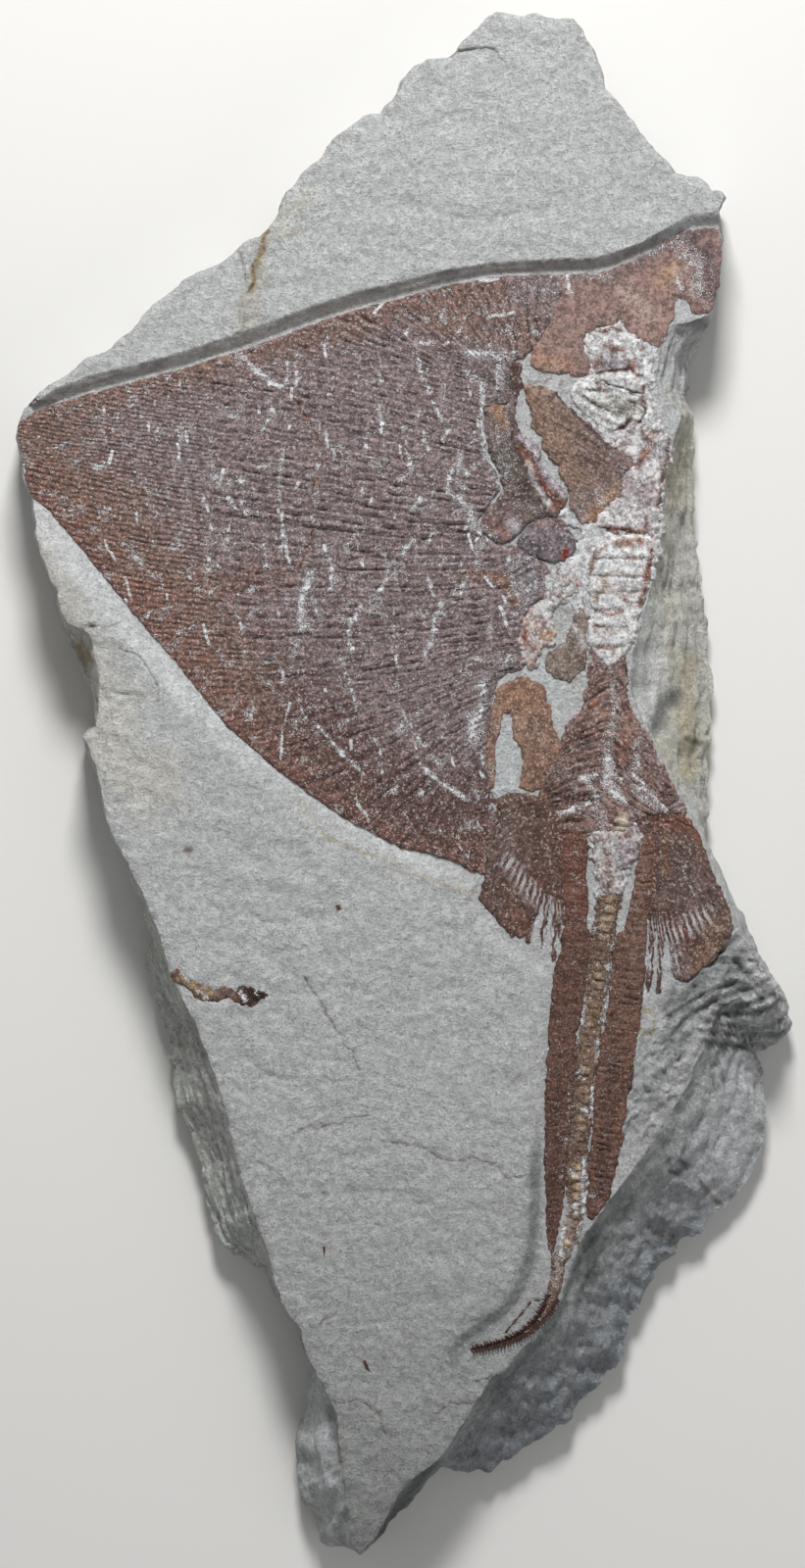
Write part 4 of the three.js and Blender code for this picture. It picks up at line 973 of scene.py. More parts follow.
# Breaks in the film: (depth, reach, [x, y], ...)
WING_CRACKS = [
    (0.5, 0.7, (-37, 125.5), (-33, 119), (-29, 113), (-27, 108), (-28, 97)),
    (0.5, 0.7, (-29, 96), (-29.5, 86), (-30, 78), (-34, 68)),
    (0.45, 0.8, (-22, 91), (-10, 88), (0, 87), (8, 83), (20, 80), (33, 76)),
    (0.4, 1.2, (-18, 75), (-10, 73), (-2, 71)),
    (0.35, 0.8, (-12, 57), (-12, 53), (-4, 53)),
    (0.4, 0.8, (36, 37), (30, 35.5), (26, 31)),
]


def smooth_line(points, count):
    """Evenly spaced points on a smooth curve through a few given ones, and their distances."""
    points = np.asarray(points, float)
    ends = np.vstack([2 * points[0] - points[1], points, 2 * points[-1] - points[-2]])
    pieces = []
    t = np.linspace(0, 1, 17)[:-1, None]
    for a, b, c, d in zip(ends, ends[1:], ends[2:], ends[3:]):
        pieces.append(0.5 * (2 * b + (c - a) * t + (2 * a - 5 * b + 4 * c - d) * t ** 2
                             + (3 * b - a - 3 * c + d) * t ** 3))
    line = np.vstack(pieces + [points[-1:]])
    steps = np.linalg.norm(np.diff(line, axis=0), axis=1)
    length = np.concatenate([[0], np.cumsum(steps)])
    even = np.linspace(0, length[-1], count)
    return np.stack([np.interp(even, length, column) for column in line.T], 1), even


def cross(a, b):
    """Twice the area between two flat arrows."""
    return a[:, 0] * b[:, 1] - a[:, 1] * b[:, 0]


def ray_field(flat, guides, between=5, count=32):
    """Ray number and distance from the root, in mm, at every point, from guide rays."""
    lines = [(number, *smooth_line(points, count)) for number, *points in guides]
    rays = []
    for here, there in zip(lines[:-1], lines[1:]):
        for s in np.arange(between) / between:
            rays.append([a + (b - a) * s for a, b in zip(here, there)])
    rays.append(lines[-1])
    number = np.repeat([ray[0] for ray in rays], count)
    place = np.concatenate([ray[1] for ray in rays])
    length = np.concatenate([ray[2] for ray in rays])
    corners = []
    for i in range(len(rays) - 1):
        for j in range(count - 1):
            a = i * count + j
            corners += [(a, a + 1, a + count), (a + 1, a + count + 1, a + count)]
    corners = np.array(corners)
    sheet = BVHTree.FromPolygons([(x, y, 0) for x, y in place], corners.tolist())
    found = [sheet.find_nearest((x, y, 0)) for x, y in flat]
    hit = np.array([f[2] for f in found])
    at = np.array([f[0][:2] for f in found])
    a, b, c = (place[corners[hit, k]] for k in range(3))
    area = cross(b - a, c - a)
    area = np.where(np.abs(area) < 1e-9, 1e-9, area)
    v = cross(at - a, c - a) / area
    w = cross(b - a, at - a) / area
    shares = (1 - v - w, v, w)
    return tuple(sum(share * values[corners[hit, k]] for k, share in enumerate(shares))
                 for values in (number, length))


def torn_ring(plan, step, ragged, spread):
    """Points round the torn edge of a film that laps a little over its plan, and their sides."""
    ring = dotted(np.vstack([plan, plan[:1]]), step * 0.95)[:-1]
    turn = np.roll(ring, -1, 0) - np.roll(ring, 1, 0)
    side = np.stack([-turn[:, 1], turn[:, 0]], 1)
    side = side / (np.linalg.norm(turn, axis=1)[:, None] + 1e-9)
    shake = rough(ring, 1.6, 2, 3) * ragged + rough(ring, 4.5, 3, 6) * ragged * 0.9
    return ring - side * (shake * 1.2 + spread)[:, None], side


RAY_HEIGHTS = 0.55 + 0.9 * np.random.default_rng(8).random(400)  # each ray stands at its own


def ribs_of(flat, rays, fork, ray_height):
    """Ray number, distance from the root, share of forking and relief of the rays."""
    numbers, lengths = ray_field(flat + wander(flat, 7, 2, (9, 12), 0.5), rays)
    forks = np.zeros(len(flat))
    if fork:
        forks = np.clip((lengths - fork + rough(flat, 9, 2, 15) * 12) / 10, 0, 1)
    ridge = (1 - forks) * np.abs(np.sin(math.pi * numbers))
    ridge += forks * np.abs(np.sin(2 * math.pi * numbers)) * 0.35
    own = RAY_HEIGHTS[np.floor(numbers).astype(int) % len(RAY_HEIGHTS)]
    own = own * np.clip(1 + 1.6 * rough(flat, 5, 3, 87), 0.15, 2.0)
    return numbers, lengths, forks, ray_height * own * (np.sqrt(ridge + 0.02) - 0.6)


def close_below(mesh, on_face):
    """Gives a film its edge, which goes down into the stone, and its underside."""
    body = bmesh.new()
    body.from_mesh(mesh)
    border = [edge for edge in body.edges if edge.is_boundary]
    for part in bmesh.ops.extrude_edge_only(body, edges=border)["geom"]:
        if isinstance(part, bmesh.types.BMVert):
            part.co.z = part.co.z - 0.9 * MM if on_face else (POCKET_Z - 0.35) * MM
    border = [edge for edge in body.edges if edge.is_boundary]
    bmesh.ops.holes_fill(body, edges=border, sides=0)
    bmesh.ops.recalc_face_normals(body, faces=body.faces)
    body.to_mesh(mesh)
    body.free()


def lay_film(node, material, colour, name=None, outline=None, on_face=False, step=0.55,
             top=FILM_TOP, dome=0.45, spread=0.42, ragged=0.28, rough_height=0.12, rays=None,
             fork=0.0, ray_height=0.12, smooth_chalk=0.5, washes=(), veins=None, bare=(), chalk=(),
             speckle=(), bumps=()):
    """A film or crust over the plan of its CAD node, or over an outline of its own.

    It stands that far above the floor at its top and rises to it over the width of its dome.
    Its edge laps over the plan by its spread and is as torn as it is ragged. Rays, which fork
    at a distance from their root, stand up in it. All lists are (strength, reach, [x, y], ...):
    washes, which have a colour first, chalk, speckle, gaps bare of film, and bumps or hollows.
    """
    plan = plans[node] if outline is None else np.array(outline, float)
    ring, side = torn_ring(plan, step, ragged, spread)
    loose = lattice(ring.min(0), ring.max(0), step, len(node))
    loose = loose[inside(loose, ring)]
    ring_tree = tree_of(ring)
    flat, triangles = filled(ring, loose[gap_to(ring_tree, loose) > step * 0.55])
    rise = 1 - np.exp(-gap_to(ring_tree, flat) / dome)
    rag = rough(flat, 2.4, 3, 5)
    tint = np.tile(srgb(*colour), (len(flat), 1))
    tint *= (1 + 0.10 * rough(flat, 9, 3, 7) + 0.07 * rag)[:, None]
    height = top * (0.35 + 0.65 * rise) + rag * rough_height * rise
    numbers = lengths = forks = ribs = np.zeros(len(flat))
    if rays:
        numbers, lengths, forks, ribs = ribs_of(flat, rays, fork, ray_height)
    for shade, strength, reach, *line in washes:
        tint = blended(tint, shade, strength * near(flat, line, reach, rag * reach * 0.45))
    if veins:
        shade, strength, size = veins
        vein = 1 - np.clip(np.abs(rough(flat, size, 3, 73)) / 0.10, 0, 1)
        vein = np.maximum(vein, np.clip(rough(flat, size * 0.4, 2, 79) * 2.4 - 0.7, 0, 1))
        vein *= np.clip(0.9 + 1.4 * rough(flat, size * 2, 2, 83), 0, 1)
        tint = blended(tint, shade, strength * vein)
        height -= 0.22 * vein
    gaps = np.zeros(len(flat))
    for strength, reach, *line in bare:
        gaps = np.maximum(gaps, strength * near(flat, line, reach, rag * reach * 0.3))
    white = np.zeros(len(flat))
    zigzag = wander(flat, 2.0, 2, (21, 27), 1.25)
    patchy = np.clip(0.8 + 1.5 * rough(flat, 3.2, 2, 33), 0.1, 1)
    lace = 0.78 + 0.3 * np.cos(2 * math.pi * numbers) if rays else 0.9
    for strength, reach, *line in chalk:
        core = near(flat + zigzag, line, reach * 0.9, rag * 0.3) * patchy
        halo = 0.5 * near(flat, line, reach * 2.6)
        white = np.maximum(white, strength * np.maximum(core * lace, halo))
    for strength, reach, *line in speckle:
        white = np.maximum(white, strength * near(flat, line, reach, rag * reach * 0.25))
    height += white * 0.22 + ribs * rise * (1 - 0.85 * np.clip(white * smooth_chalk, 0, 1))
    for lift, reach, *line in bumps:
        height += lift * near(flat + zigzag * 0.4, line, reach)
        if lift < 0:
            shadow = 0.8 * near(flat + zigzag * 0.4, line, reach * 0.8)
            tint = blended(tint, (58, 42, 36), shadow)
    floor_z = face_level_of(flat) if on_face else POCKET_Z
    mesh = bpy.data.meshes.new(name or node)
    mesh.from_pydata((np.column_stack([flat, floor_z + height]) * MM).tolist(), [], triangles)
    for label, values in (("Tint", tint), ("Chalk", white), ("Ray", numbers), ("Along", lengths),
                          ("Fork", forks), ("Bare", gaps)):
        paint(mesh, label, values)
    close_below(mesh, on_face)
    unfolded = np.array([v.co[:2] for v in mesh.vertices]) / MM
    for i in range(len(flat), len(unfolded)):
        unfolded[i] -= side[ring_tree.find((*unfolded[i], 0))[1]] * 1.3
    lay_flat(mesh, unfolded)
    finish(name or node, mesh, material, [node])


# Fin rays: painted shade in the grooves between them, forking outwards, and the joints across them
rays_group, ends, out = effect(
    "fin_rays",
    [("Position", "Vector", None), ("Ray", "Float", None), ("Along", "Float", None),
     ("Fork", "Float", None), ("Joint mm", "Float", 12.0)],
    [("Groove shade", "Float"), ("Ridge", "Float"), ("Joint", "Float")])


def wave(ray, turns):
    """Height of the rays across their grooves, for one or two rays to a ray number."""
    sine = math_node(rays_group, "SINE", math_node(rays_group, "MULTIPLY", ray, turns * math.pi))
    return math_node(rays_group, "ABSOLUTE", sine)


def by_number(number):
    """A random value for each whole number."""
    whole = math_node(rays_group, "FLOOR", number)
    return grow(rays_group, "ShaderNodeTexWhiteNoise", {"W": whole},
                noise_dimensions="1D").outputs[0]


drift = clouds(rays_group, ends["Position"], 330.0, 3.0)[0]
slow_drift = clouds(rays_group, ends["Position"], 75.0, 1.0)[0]
patch = clouds(rays_group, ends["Position"], 120.0, 2.0)[0]
ray = math_node(rays_group, "MULTIPLY_ADD", drift, 1.0, ends["Ray"])
single = wave(ray, 1)
forking = math_node(rays_group, "SUBTRACT", wave(ray, 2), single)
forked = math_node(rays_group, "MULTIPLY_ADD", forking, ends["Fork"], single)
depth = ramp(rays_group, slow_drift, 0.38, 0.62, 0.55, 1.0)
own = by_number(math_node(rays_group, "ADD", ray, 0.5))
depth = math_node(rays_group, "MULTIPLY", depth, ramp(rays_group, own, 0, 1, 0.45, 1.15))
rays_group.links.new(math_node(rays_group, "MULTIPLY", ramp(rays_group, forked, 0.78, 0.12), depth,
                               clamp=True), out["Groove shade"])
rays_group.links.new(forked, out["Ridge"])
offset = by_number(math_node(rays_group, "MULTIPLY", ends["Ray"], 0.5))
segment = math_node(rays_group, "ADD",
                    math_node(rays_group, "DIVIDE", ends["Along"], ends["Joint mm"]),
                    math_node(rays_group, "MULTIPLY", offset, 0.35))
from_joint = math_node(rays_group, "SUBTRACT", math_node(rays_group, "FRACT", segment), 0.5)
from_joint = math_node(rays_group, "MULTIPLY",
                       math_node(rays_group, "ABSOLUTE", from_joint), ends["Joint mm"])
rays_group.links.new(math_node(rays_group, "MULTIPLY", ramp(rays_group, from_joint, 0.85, 0.35),
                               ramp(rays_group, patch, 0.52, 0.62)), out["Joint"])

# Chalk: ragged white crust where its amount is high, scattered grains where it is low
chalk_group, ends, out = effect(
    "chalk_crust", [("Position", "Vector", None), ("Amount", "Float", None)],
    [("Mask", "Float"), ("Height", "Float")])
crumbs = clouds(chalk_group, ends["Position"], 2300.0, 3.0, 0.7)[0]
clumps = clouds(chalk_group, ends["Position"], 420.0, 2.0)[0]
crust_noise = math_node(chalk_group, "MULTIPLY_ADD", crumbs, 0.8,
                        math_node(chalk_group, "MULTIPLY", clumps, 0.2))
level = math_node(chalk_group, "MULTIPLY_ADD", ends["Amount"], 0.42, crust_noise)
chalk_group.links.new(ramp(chalk_group, level, 0.66, 0.74), out["Mask"])
chalk_group.links.new(crust_noise, out["Height"])


def skin_material(name, roughness=0.8, specular=0.3, grain_mm=0.5, bump_mm=0.35,
                  light=0.7, light_colour=(196, 188, 186), dark=0.6, dark_colour=(66, 50, 46),
                  groove_shade=0.0, groove_shade_colour=(62, 46, 42), joints=0.0,
                  scatter=0.13, chalk_colour=(214, 215, 217)):
    """Brown fossil skin or crust: granules over the painted colour, painted shade in the ray
    grooves, white chalk.
    """
    material, tree, shader, position, painted = new_material(name, roughness, specular)
    grain = placed(tree, grain_group, Position=position, Size_mm=grain_mm)
    tone = ramp(tree, grain["Tone"], 0, 1, 0.5, 1.34)
    colour = mixed(tree, 1.0, painted, tone, "MULTIPLY")
    height = grain["Height"]
    clusters = clouds(tree, position, 190.0, 3.0, 0.7)[0]
    scattered = ramp(tree, clusters, 0.45, 0.72, scatter * 0.5, scatter * 1.6)
    amount = math_node(tree, "MAXIMUM", painted_value(tree, "Chalk"), scattered)
    if groove_shade:
        fork = painted_value(tree, "Fork")
        rays = placed(tree, rays_group, Position=position, Ray=painted_value(tree, "Ray"),
                      Along=painted_value(tree, "Along"), Fork=fork)
        # painted shade in the ray grooves, patchy, and weaker where the rays fork
        shade_depth = math_node(tree, "MULTIPLY", ramp(tree, clusters, 0.36, 0.6, 0.2 * groove_shade, groove_shade),
                         ramp(tree, fork, 0, 1, 1.0, 0.4))
        groove_shades = math_node(tree, "MULTIPLY", rays["Groove shade"], shade_depth)
        colour = mixed(tree, groove_shades, colour, srgb(*groove_shade_colour))
        height = math_node(tree, "MULTIPLY_ADD", rays["Ridge"], 0.4, height)
        gaps = math_node(tree, "MULTIPLY", painted_value(tree, "Bare"),
                         ramp(tree, rays["Ridge"], 0.75, 0.5))
        colour = mixed(tree, gaps, colour, srgb(*chalk_colour))
        if joints:
            amount = math_node(tree, "MAXIMUM", amount,
                               math_node(tree, "MULTIPLY", rays["Joint"], joints))
    for granules, strength, shade in ((grain["Light"], light, light_colour),
                                      (grain["Dark"], dark, dark_colour)):
        share = math_node(tree, "MULTIPLY", granules, strength)
        colour = mixed(tree, share, colour, srgb(*shade))
    crust = placed(tree, chalk_group, Position=position, Amount=amount)
    colour = mixed(tree, crust["Mask"], colour, srgb(*chalk_colour))
    tree.links.new(colour, shader.inputs["Base Color"])
    height = math_node(tree, "MULTIPLY_ADD", crust["Mask"], 0.35, height)
    bump = grow(tree, "ShaderNodeBump",
                {"Strength": 0.8, "Distance": bump_mm * MM, "Height": height})
    tree.links.new(bump.outputs[0], shader.inputs["Normal"])
    return material


wing_mineral = skin_material(
    "wing_mineral", grain_mm=0.8, groove_shade=1.0, joints=0.6, light=0.8, dark=0.8, scatter=0.3,
    light_colour=(206, 196, 196), groove_shade_colour=(46, 34, 31), bump_mm=0.7)
lay_film(
    "pectoral_fin", wing_mineral, WING_MAUVE, step=WING_STEP, rays=WING_RAYS, fork=86,
    ray_height=1.0, chalk=WING_CHALK, bumps=[(-d, r, *line) for d, r, *line in WING_CRACKS],
    washes=[
        (WING_RUST, 1.0, 34, (-124, 110), (-100, 86), (-70, 48), (-40, 12), (0, -18), (26, -26)),
        (WING_RED, 0.9, 16, (-118, 92), (-91, 61), (-64, 28), (-30, -3), (0, -20), (24, -24)),
        (WING_RUST, 0.9, 11, (-120, 118), (-85, 128), (-50, 138), (0, 154), (28, 160)),
        (WING_RED, 0.6, 9, (-90, 60), (-60, 62), (-40, 68)),
        (WING_RUST, 0.8, 14, (10, 148), (30, 148), (40, 142)),
        ((150, 112, 88), 0.6, 1.3, *WING_CRACKS[0][2:]),
        ((150, 112, 88), 0.6, 1.3, *WING_CRACKS[1][2:]),
        ((140, 98, 72), 0.7, 3.0, (20, 67), (30, 66), (36, 58)),
        ((96, 84, 86), 0.6, 5, (28, 92), (40, 88), (48, 93)),
        ((132, 124, 130), 0.9, 4.5, (38, 70), (41, 66), (40, 59)),
        ((92, 66, 60), 0.85, 20, (-30, 20), (-6, -2), (10, -10), (24, -6))])

# ----------------------------------------------------------------------------------------------
# The head: smooth pinkish skin of the snout, the striped gill region, and the crushed
# cartilages of the jaws, white with brown veins, which stand a little higher.
# ----------------------------------------------------------------------------------------------

CRUST_TOP = 1.15         # how far a crust stands above the pocket's floor
RUST = (146, 98, 70)
DEEP_BROWN = (84, 58, 48)
PALE = (206, 206, 206)
LILAC = (150, 138, 146)

snout_mineral = skin_material("snout_mineral", grain_mm=0.8, light=0.35, dark=0.45,
                              light_colour=(192, 172, 166), dark_colour=(92, 70, 64), bump_mm=0.22)
lay_film(
    "snout_skin", snout_mineral, (139, 114, 107), rough_height=0.09,
    ragged=0.55, spread=0.7,
    washes=[
        ((152, 120, 100), 0.8, 6, (41, 136), (47, 134), (52, 133)),
        ((176, 142, 116), 0.7, 4, (82, 160), (86, 165)),
        ((94, 78, 78), 0.9, 9, (90, 174), (96, 168), (98, 158)),
        ((96, 82, 82), 0.7, 3.5, (52, 161), (66, 162), (80, 170), (92, 176)),
        ((118, 98, 92), 0.7, 5, (60, 147), (68, 148)),
        ((120, 100, 96), 0.7, 4, (56, 140), (57, 133)),
        ((190, 170, 160), 0.4, 5, (70, 158), (78, 150))],
    speckle=[
        (0.4, 9, (88, 172), (93, 166), (93, 158)), (0.3, 4, (96, 153), (98, 166)),
        (0.35, 4, (72, 167), (86, 173)), (0.35, 3, (52, 161), (66, 162))],
    chalk=[
        (0.6, 2, (86, 163), (88, 158)), (0.4, 2.5, (52, 160), (66, 161.5)),
        (0.9, 1.2, (51.5, 163), (52.4, 157)), (0.5, 2.5, (67, 148), (62, 146)),
        (0.5, 2, (44, 133), (50, 132))],
    bumps=[(-0.4, 0.8, (85, 156), (91, 155))])

gill_mineral = skin_material("gill_mineral", grain_mm=0.8, groove_shade=0.5, light=0.5, dark=0.6)
lay_film(
    "gill_patch", gill_mineral, (128, 108, 100), ray_height=0.3,
    ragged=0.6, spread=0.6,
    rays=[
        (0, (40, 134), (80, 106)), (10, (34, 118), (72, 92)), (18, (38, 104), (68, 83)),
        (24, (42, 92), (66, 75))],
    washes=[
        ((140, 112, 92), 0.6, 12, (38, 126), (46, 114), (54, 100)),
        ((112, 92, 88), 0.8, 8, (58, 104), (70, 102)),
        ((124, 104, 100), 0.7, 6, (56, 92), (62, 88)),
        ((134, 124, 122), 0.9, 1.8, (51, 123), (59, 114.5), (66, 108.5)),
        ((66, 50, 46), 0.9, 1.0, (48, 125), (55, 117), (60, 112.5), (65, 107.3)),
        ((72, 54, 48), 0.8, 0.9, (45, 115.5), (52, 113), (60, 109), (66, 106.5)),
        ((72, 54, 48), 0.7, 0.9, (46, 106), (56, 104.5), (66, 101)),
        ((160, 120, 84), 0.7, 4, (66, 92), (60, 86))],
    speckle=[
        (0.36, 9, (62, 92), (67, 86)), (0.32, 6, (55, 92), (57, 86)), (0.3, 5, (69, 103), (70, 96)),
        (0.25, 5, (60, 112), (66, 106))],
    chalk=[(0.6, 3, (62, 90), (66, 87))],
    bumps=[
        (0.25, 0.9, (46, 124), (55, 114), (64, 106)),
        (-0.25, 0.7, (48, 125), (57, 115.5), (66, 107))])

jaw_mineral = skin_material(
    "jaw_mineral", grain_mm=0.8, light=0.6, dark=0.5, dark_colour=(96, 82, 78),
    light_colour=(216, 216, 216), bump_mm=0.5)
JAW_SLIT = ((62.6, 128.2), (65.5, 126.8), (68, 126), (71, 125.3), (75, 124))
JAW_BAND = ((56.5, 121.8), (61, 118.8), (66, 116), (69.5, 114.6))
lay_film(
    "jaw_cartilages", jaw_mineral, (204, 205, 204), step=0.4, top=CRUST_TOP,
    rough_height=0.35, ragged=0.6, spread=0.8, veins=((128, 104, 96), 0.4, 7),
    washes=[
        ((172, 174, 166), 0.9, 6, (60, 121), (68, 119), (74, 121)),
        ((138, 132, 126), 0.9, 3.6, (68, 121), (74, 121.5)),
        ((124, 110, 116), 0.95, 4.2, (62, 134.5), (68, 134.5), (73, 134)),
        ((112, 78, 72), 0.95, 2.8, (64, 139.5), (68.5, 138.5)),
        ((120, 88, 80), 0.9, 2, (61, 133), (61.5, 137)), (RUST, 0.8, 1.4, (72.5, 135), (73, 131)),
        (PALE, 1.0, 3.2, (58, 141), (60, 138)), (PALE, 1.0, 4.5, (72, 142.5), (77, 137)),
        (PALE, 1.0, 2.2, (63, 129.8), (68, 130), (74, 128)), (PALE, 1.0, 1.8, *JAW_BAND),
        (PALE, 0.8, 2, (53.5, 124), (56, 121)),
        ((92, 56, 46), 1.0, 1.3, (58, 143.5), (60, 145), (63, 144), (66, 145.5), (69, 144.5)),
        ((84, 44, 34), 1.0, 1.0, (61, 131), (65, 131.8), (69, 132), (72, 132.6), (74, 130.5),
         (78, 129.8)),
        ((38, 34, 36), 1.0, 1.5, *JAW_SLIT),
        ((104, 66, 58), 0.9, 1.2, (61, 128.5), (62.5, 126), (64.5, 125.3)),
        ((96, 58, 46), 0.95, 1.0, (76, 127), (76, 121), (77, 119), (76, 116.5), (75, 114.8)),
        ((88, 52, 42), 1.0, 1.4, (75.3, 115), (72, 116.6), (70, 114.5), (67.5, 112.5)),
        ((104, 98, 92), 0.85, 0.9, (57, 123.7), (61, 120.7), (66, 118.7), (72, 118)),
        ((104, 98, 92), 0.85, 0.8, (60, 122), (66, 120), (73, 119.6)),
        ((60, 46, 44), 0.9, 1.0, (71.5, 122.3), (73, 121.6)),
        ((60, 46, 44), 0.9, 0.8, (57.5, 126), (62, 125.4)),
        ((52, 40, 38), 0.9, 0.9, (62.8, 136), (64, 135.2))],
    chalk=[
        (0.5, 3, (58, 141), (61, 137)), (0.45, 3, (75, 139), (77, 136)),
        (0.35, 5, (64, 134), (72, 137))],
    bumps=[
        (-0.8, 1.0, *JAW_SLIT), (0.6, 2.2, (64, 130), (69, 130), (74, 128)), (0.8, 1.6, *JAW_BAND),
        (0.6, 3, (64, 135), (72, 134)), (0.5, 2, (64, 139.5), (68, 138.5)),
        (0.4, 1.5, (58, 141), (60, 138)), (-0.4, 0.6, (61, 131), (69, 132), (72, 132.6)),
        (-0.4, 0.7, (57, 130), (60, 131)), (-0.4, 0.6, (57, 123.7), (61, 120.7), (66, 118.7))])

# ----------------------------------------------------------------------------------------------
# The shoulder and the spine: thicker cartilages and chalky crusts from the neck to the hips,
# dark ribbed brown on the girdle, a grey-brown knob, and white blocks with rusty joints.
# ----------------------------------------------------------------------------------------------

girdle_mineral = skin_material(
    "girdle_mineral", grain_mm=1.0, groove_shade=0.6, light=0.7, dark=0.75, bump_mm=0.6)
lay_film(
    "shoulder_girdle", girdle_mineral, (112, 96, 93), top=CRUST_TOP,
    rough_height=0.32, ray_height=0.6, ragged=0.6, spread=0.7,
    rays=[
        (0, (32, 136), (25, 120), (26, 109), (28, 100), (30, 93), (24, 84), (27, 75)),
        (3, (35, 136), (33, 121), (32, 108), (36, 99), (40, 90), (32, 82), (32, 75)),
        (6, (38, 136), (37, 122), (37, 111), (43, 102), (50, 93), (52, 84), (44, 80))],
    washes=[
        ((146, 104, 68), 0.9, 4, (29, 119), (31, 115)),
        (DEEP_BROWN, 0.8, 3.0, (35, 133), (36, 126)),
        ((84, 76, 68), 0.9, 6, (31, 104), (37, 97), (44, 89)),
        ((92, 58, 44), 0.9, 1.4, (31, 97), (38, 95)),
        ((92, 58, 44), 0.8, 1.2, (31, 93), (37, 91.5)),
        ((196, 192, 192), 0.9, 1.4, (40, 104), (41, 97), (44, 92), (47, 88)),
        ((112, 60, 40), 1.0, 2.0, (36, 107), (41, 103.5), (43, 97.5), (46.5, 92.5), (50, 90.5)),
        ((172, 156, 168), 0.9, 1.7, (37, 111), (41.5, 107), (44, 99), (47, 95), (50.5, 92)),
        ((200, 176, 146), 0.9, 1.6, (39, 102.5)), ((122, 72, 48), 0.9, 2, (49.5, 89), (47, 88)),
        ((134, 98, 92), 0.8, 4, (27, 82), (32, 80)),
        ((176, 170, 172), 0.8, 2.4, (34, 83), (36, 80))],
    speckle=[
        (0.33, 9, (30, 124), (31, 108), (34, 96)), (0.4, 4, (34, 84), (37, 81)),
        (0.36, 5, (36, 89), (42, 87))],
    chalk=[
        (0.8, 1.2, (25, 88), (27, 91), (30, 94), (30, 100), (27, 101.5)),
        (0.6, 2.0, (38, 111), (46, 98), (50, 92)), (0.5, 3, (30, 124), (27, 110)),
        (0.8, 1.6, (24, 82), (28, 79))],
    bumps=[
        (-0.8, 1.1, (22, 79.5), (27, 77), (31, 75.8), (33, 77)),
        (-0.6, 0.8, (35, 75.5), (38, 74), (41, 73)), (0.5, 2.0, (33, 112), (36, 104), (43, 96)),
        (0.5, 1.4, (37, 110), (42, 105), (45, 98), (50, 92)),
        (-0.4, 0.8, (35, 118), (34, 110), (38, 102)), (-0.4, 0.7, (31, 97), (38, 95))])

knob_mineral = skin_material("knob_mineral", grain_mm=0.9, light=0.75, dark=0.8,
                             light_colour=(196, 190, 196), dark_colour=(50, 40, 42), bump_mm=0.6)
lay_film(
    "shoulder_knob", knob_mineral, (114, 104, 108), top=1.7, rough_height=0.35,
    ragged=0.5, spread=0.6, dome=4.0,
    washes=[
        ((122, 98, 90), 0.8, 3, (42, 83.5), (50, 83.5)),
        ((118, 46, 28), 1.0, 2.0, (51, 74.5), (51, 72)),
        ((58, 32, 26), 1.0, 1.7, (42, 72.5), (44, 70.8), (47, 69.4), (51, 69), (53.5, 70.5))],
    speckle=[(0.16, 7, (41, 80), (48, 79))],
    chalk=[(0.5, 2, (37.5, 78), (39, 81))],
    bumps=[(-0.5, 0.8, (44, 71), (47, 69.6), (51, 69.2))])

crust_mineral = skin_material("crust_mineral", grain_mm=1.0, light=0.7, dark=0.6,
                              light_colour=(226, 227, 228), dark_colour=(104, 74, 60), bump_mm=0.6)
lay_film(
    "shoulder_crust", crust_mineral, (182, 172, 166), top=CRUST_TOP,
    rough_height=0.55, ragged=1.0, spread=0.9, veins=((120, 66, 44), 0.95, 4),
    washes=[
        ((168, 122, 84), 0.9, 2.2, (43, 47), (46, 47.5)),
        ((112, 54, 36), 0.95, 1.8, (38, 50), (38.5, 45), (41, 43)),
        ((112, 60, 44), 0.9, 1.3, (44, 56), (44, 51)), (PALE, 0.9, 3.5, (44, 54), (52, 62)),
        ((120, 72, 54), 0.9, 1.3, (49, 60), (52, 64), (55, 63))],
    chalk=[(0.7, 3.5, (44, 56), (54, 64)), (0.6, 3, (40, 42), (42, 48))])
lay_film(
    "neck_cartilage", crust_mineral, (194, 190, 191), step=0.45, top=CRUST_TOP,
    rough_height=0.45, ragged=1.0, spread=1.0, veins=((112, 76, 62), 0.8, 8),
    washes=[
        ((142, 124, 124), 0.9, 4.5, (72, 96), (78, 91)),
        ((128, 84, 58), 0.95, 3.6, (68, 80), (75, 79.5)), (PALE, 0.9, 3.5, (65, 87), (69, 85)),
        ((96, 60, 48), 0.9, 1.2, (60, 81.5), (66, 81.5), (72, 81)),
        ((100, 64, 50), 0.95, 1.8, (80, 112.5), (76.5, 111), (79, 108.5), (75.5, 104.5),
         (74.5, 100.5)),
        ((160, 108, 70), 0.9, 1.2, (78.6, 108), (76, 104)), (PALE, 1.0, 3, (80, 104)),
        (PALE, 0.9, 2, (72, 106)),
        ((70, 44, 36), 0.9, 1.3, (84, 110), (83.6, 104), (82, 98), (81, 88)),
        ((110, 66, 50), 0.9, 1.2, (77, 85), (76.5, 80))],
    chalk=[
        (0.5, 5, (66, 88), (76, 97)), (0.5, 5, (72, 109), (82, 106)), (0.4, 4, (76, 90), (78, 84))],
    bumps=[
        (0.6, 1.4, (80, 112), (76.5, 110.5), (79, 108), (75.5, 104)),
        (-0.6, 0.9, (60, 81.5), (66, 81), (70, 80.5)), (0.5, 3, (75, 95), (77, 91))])

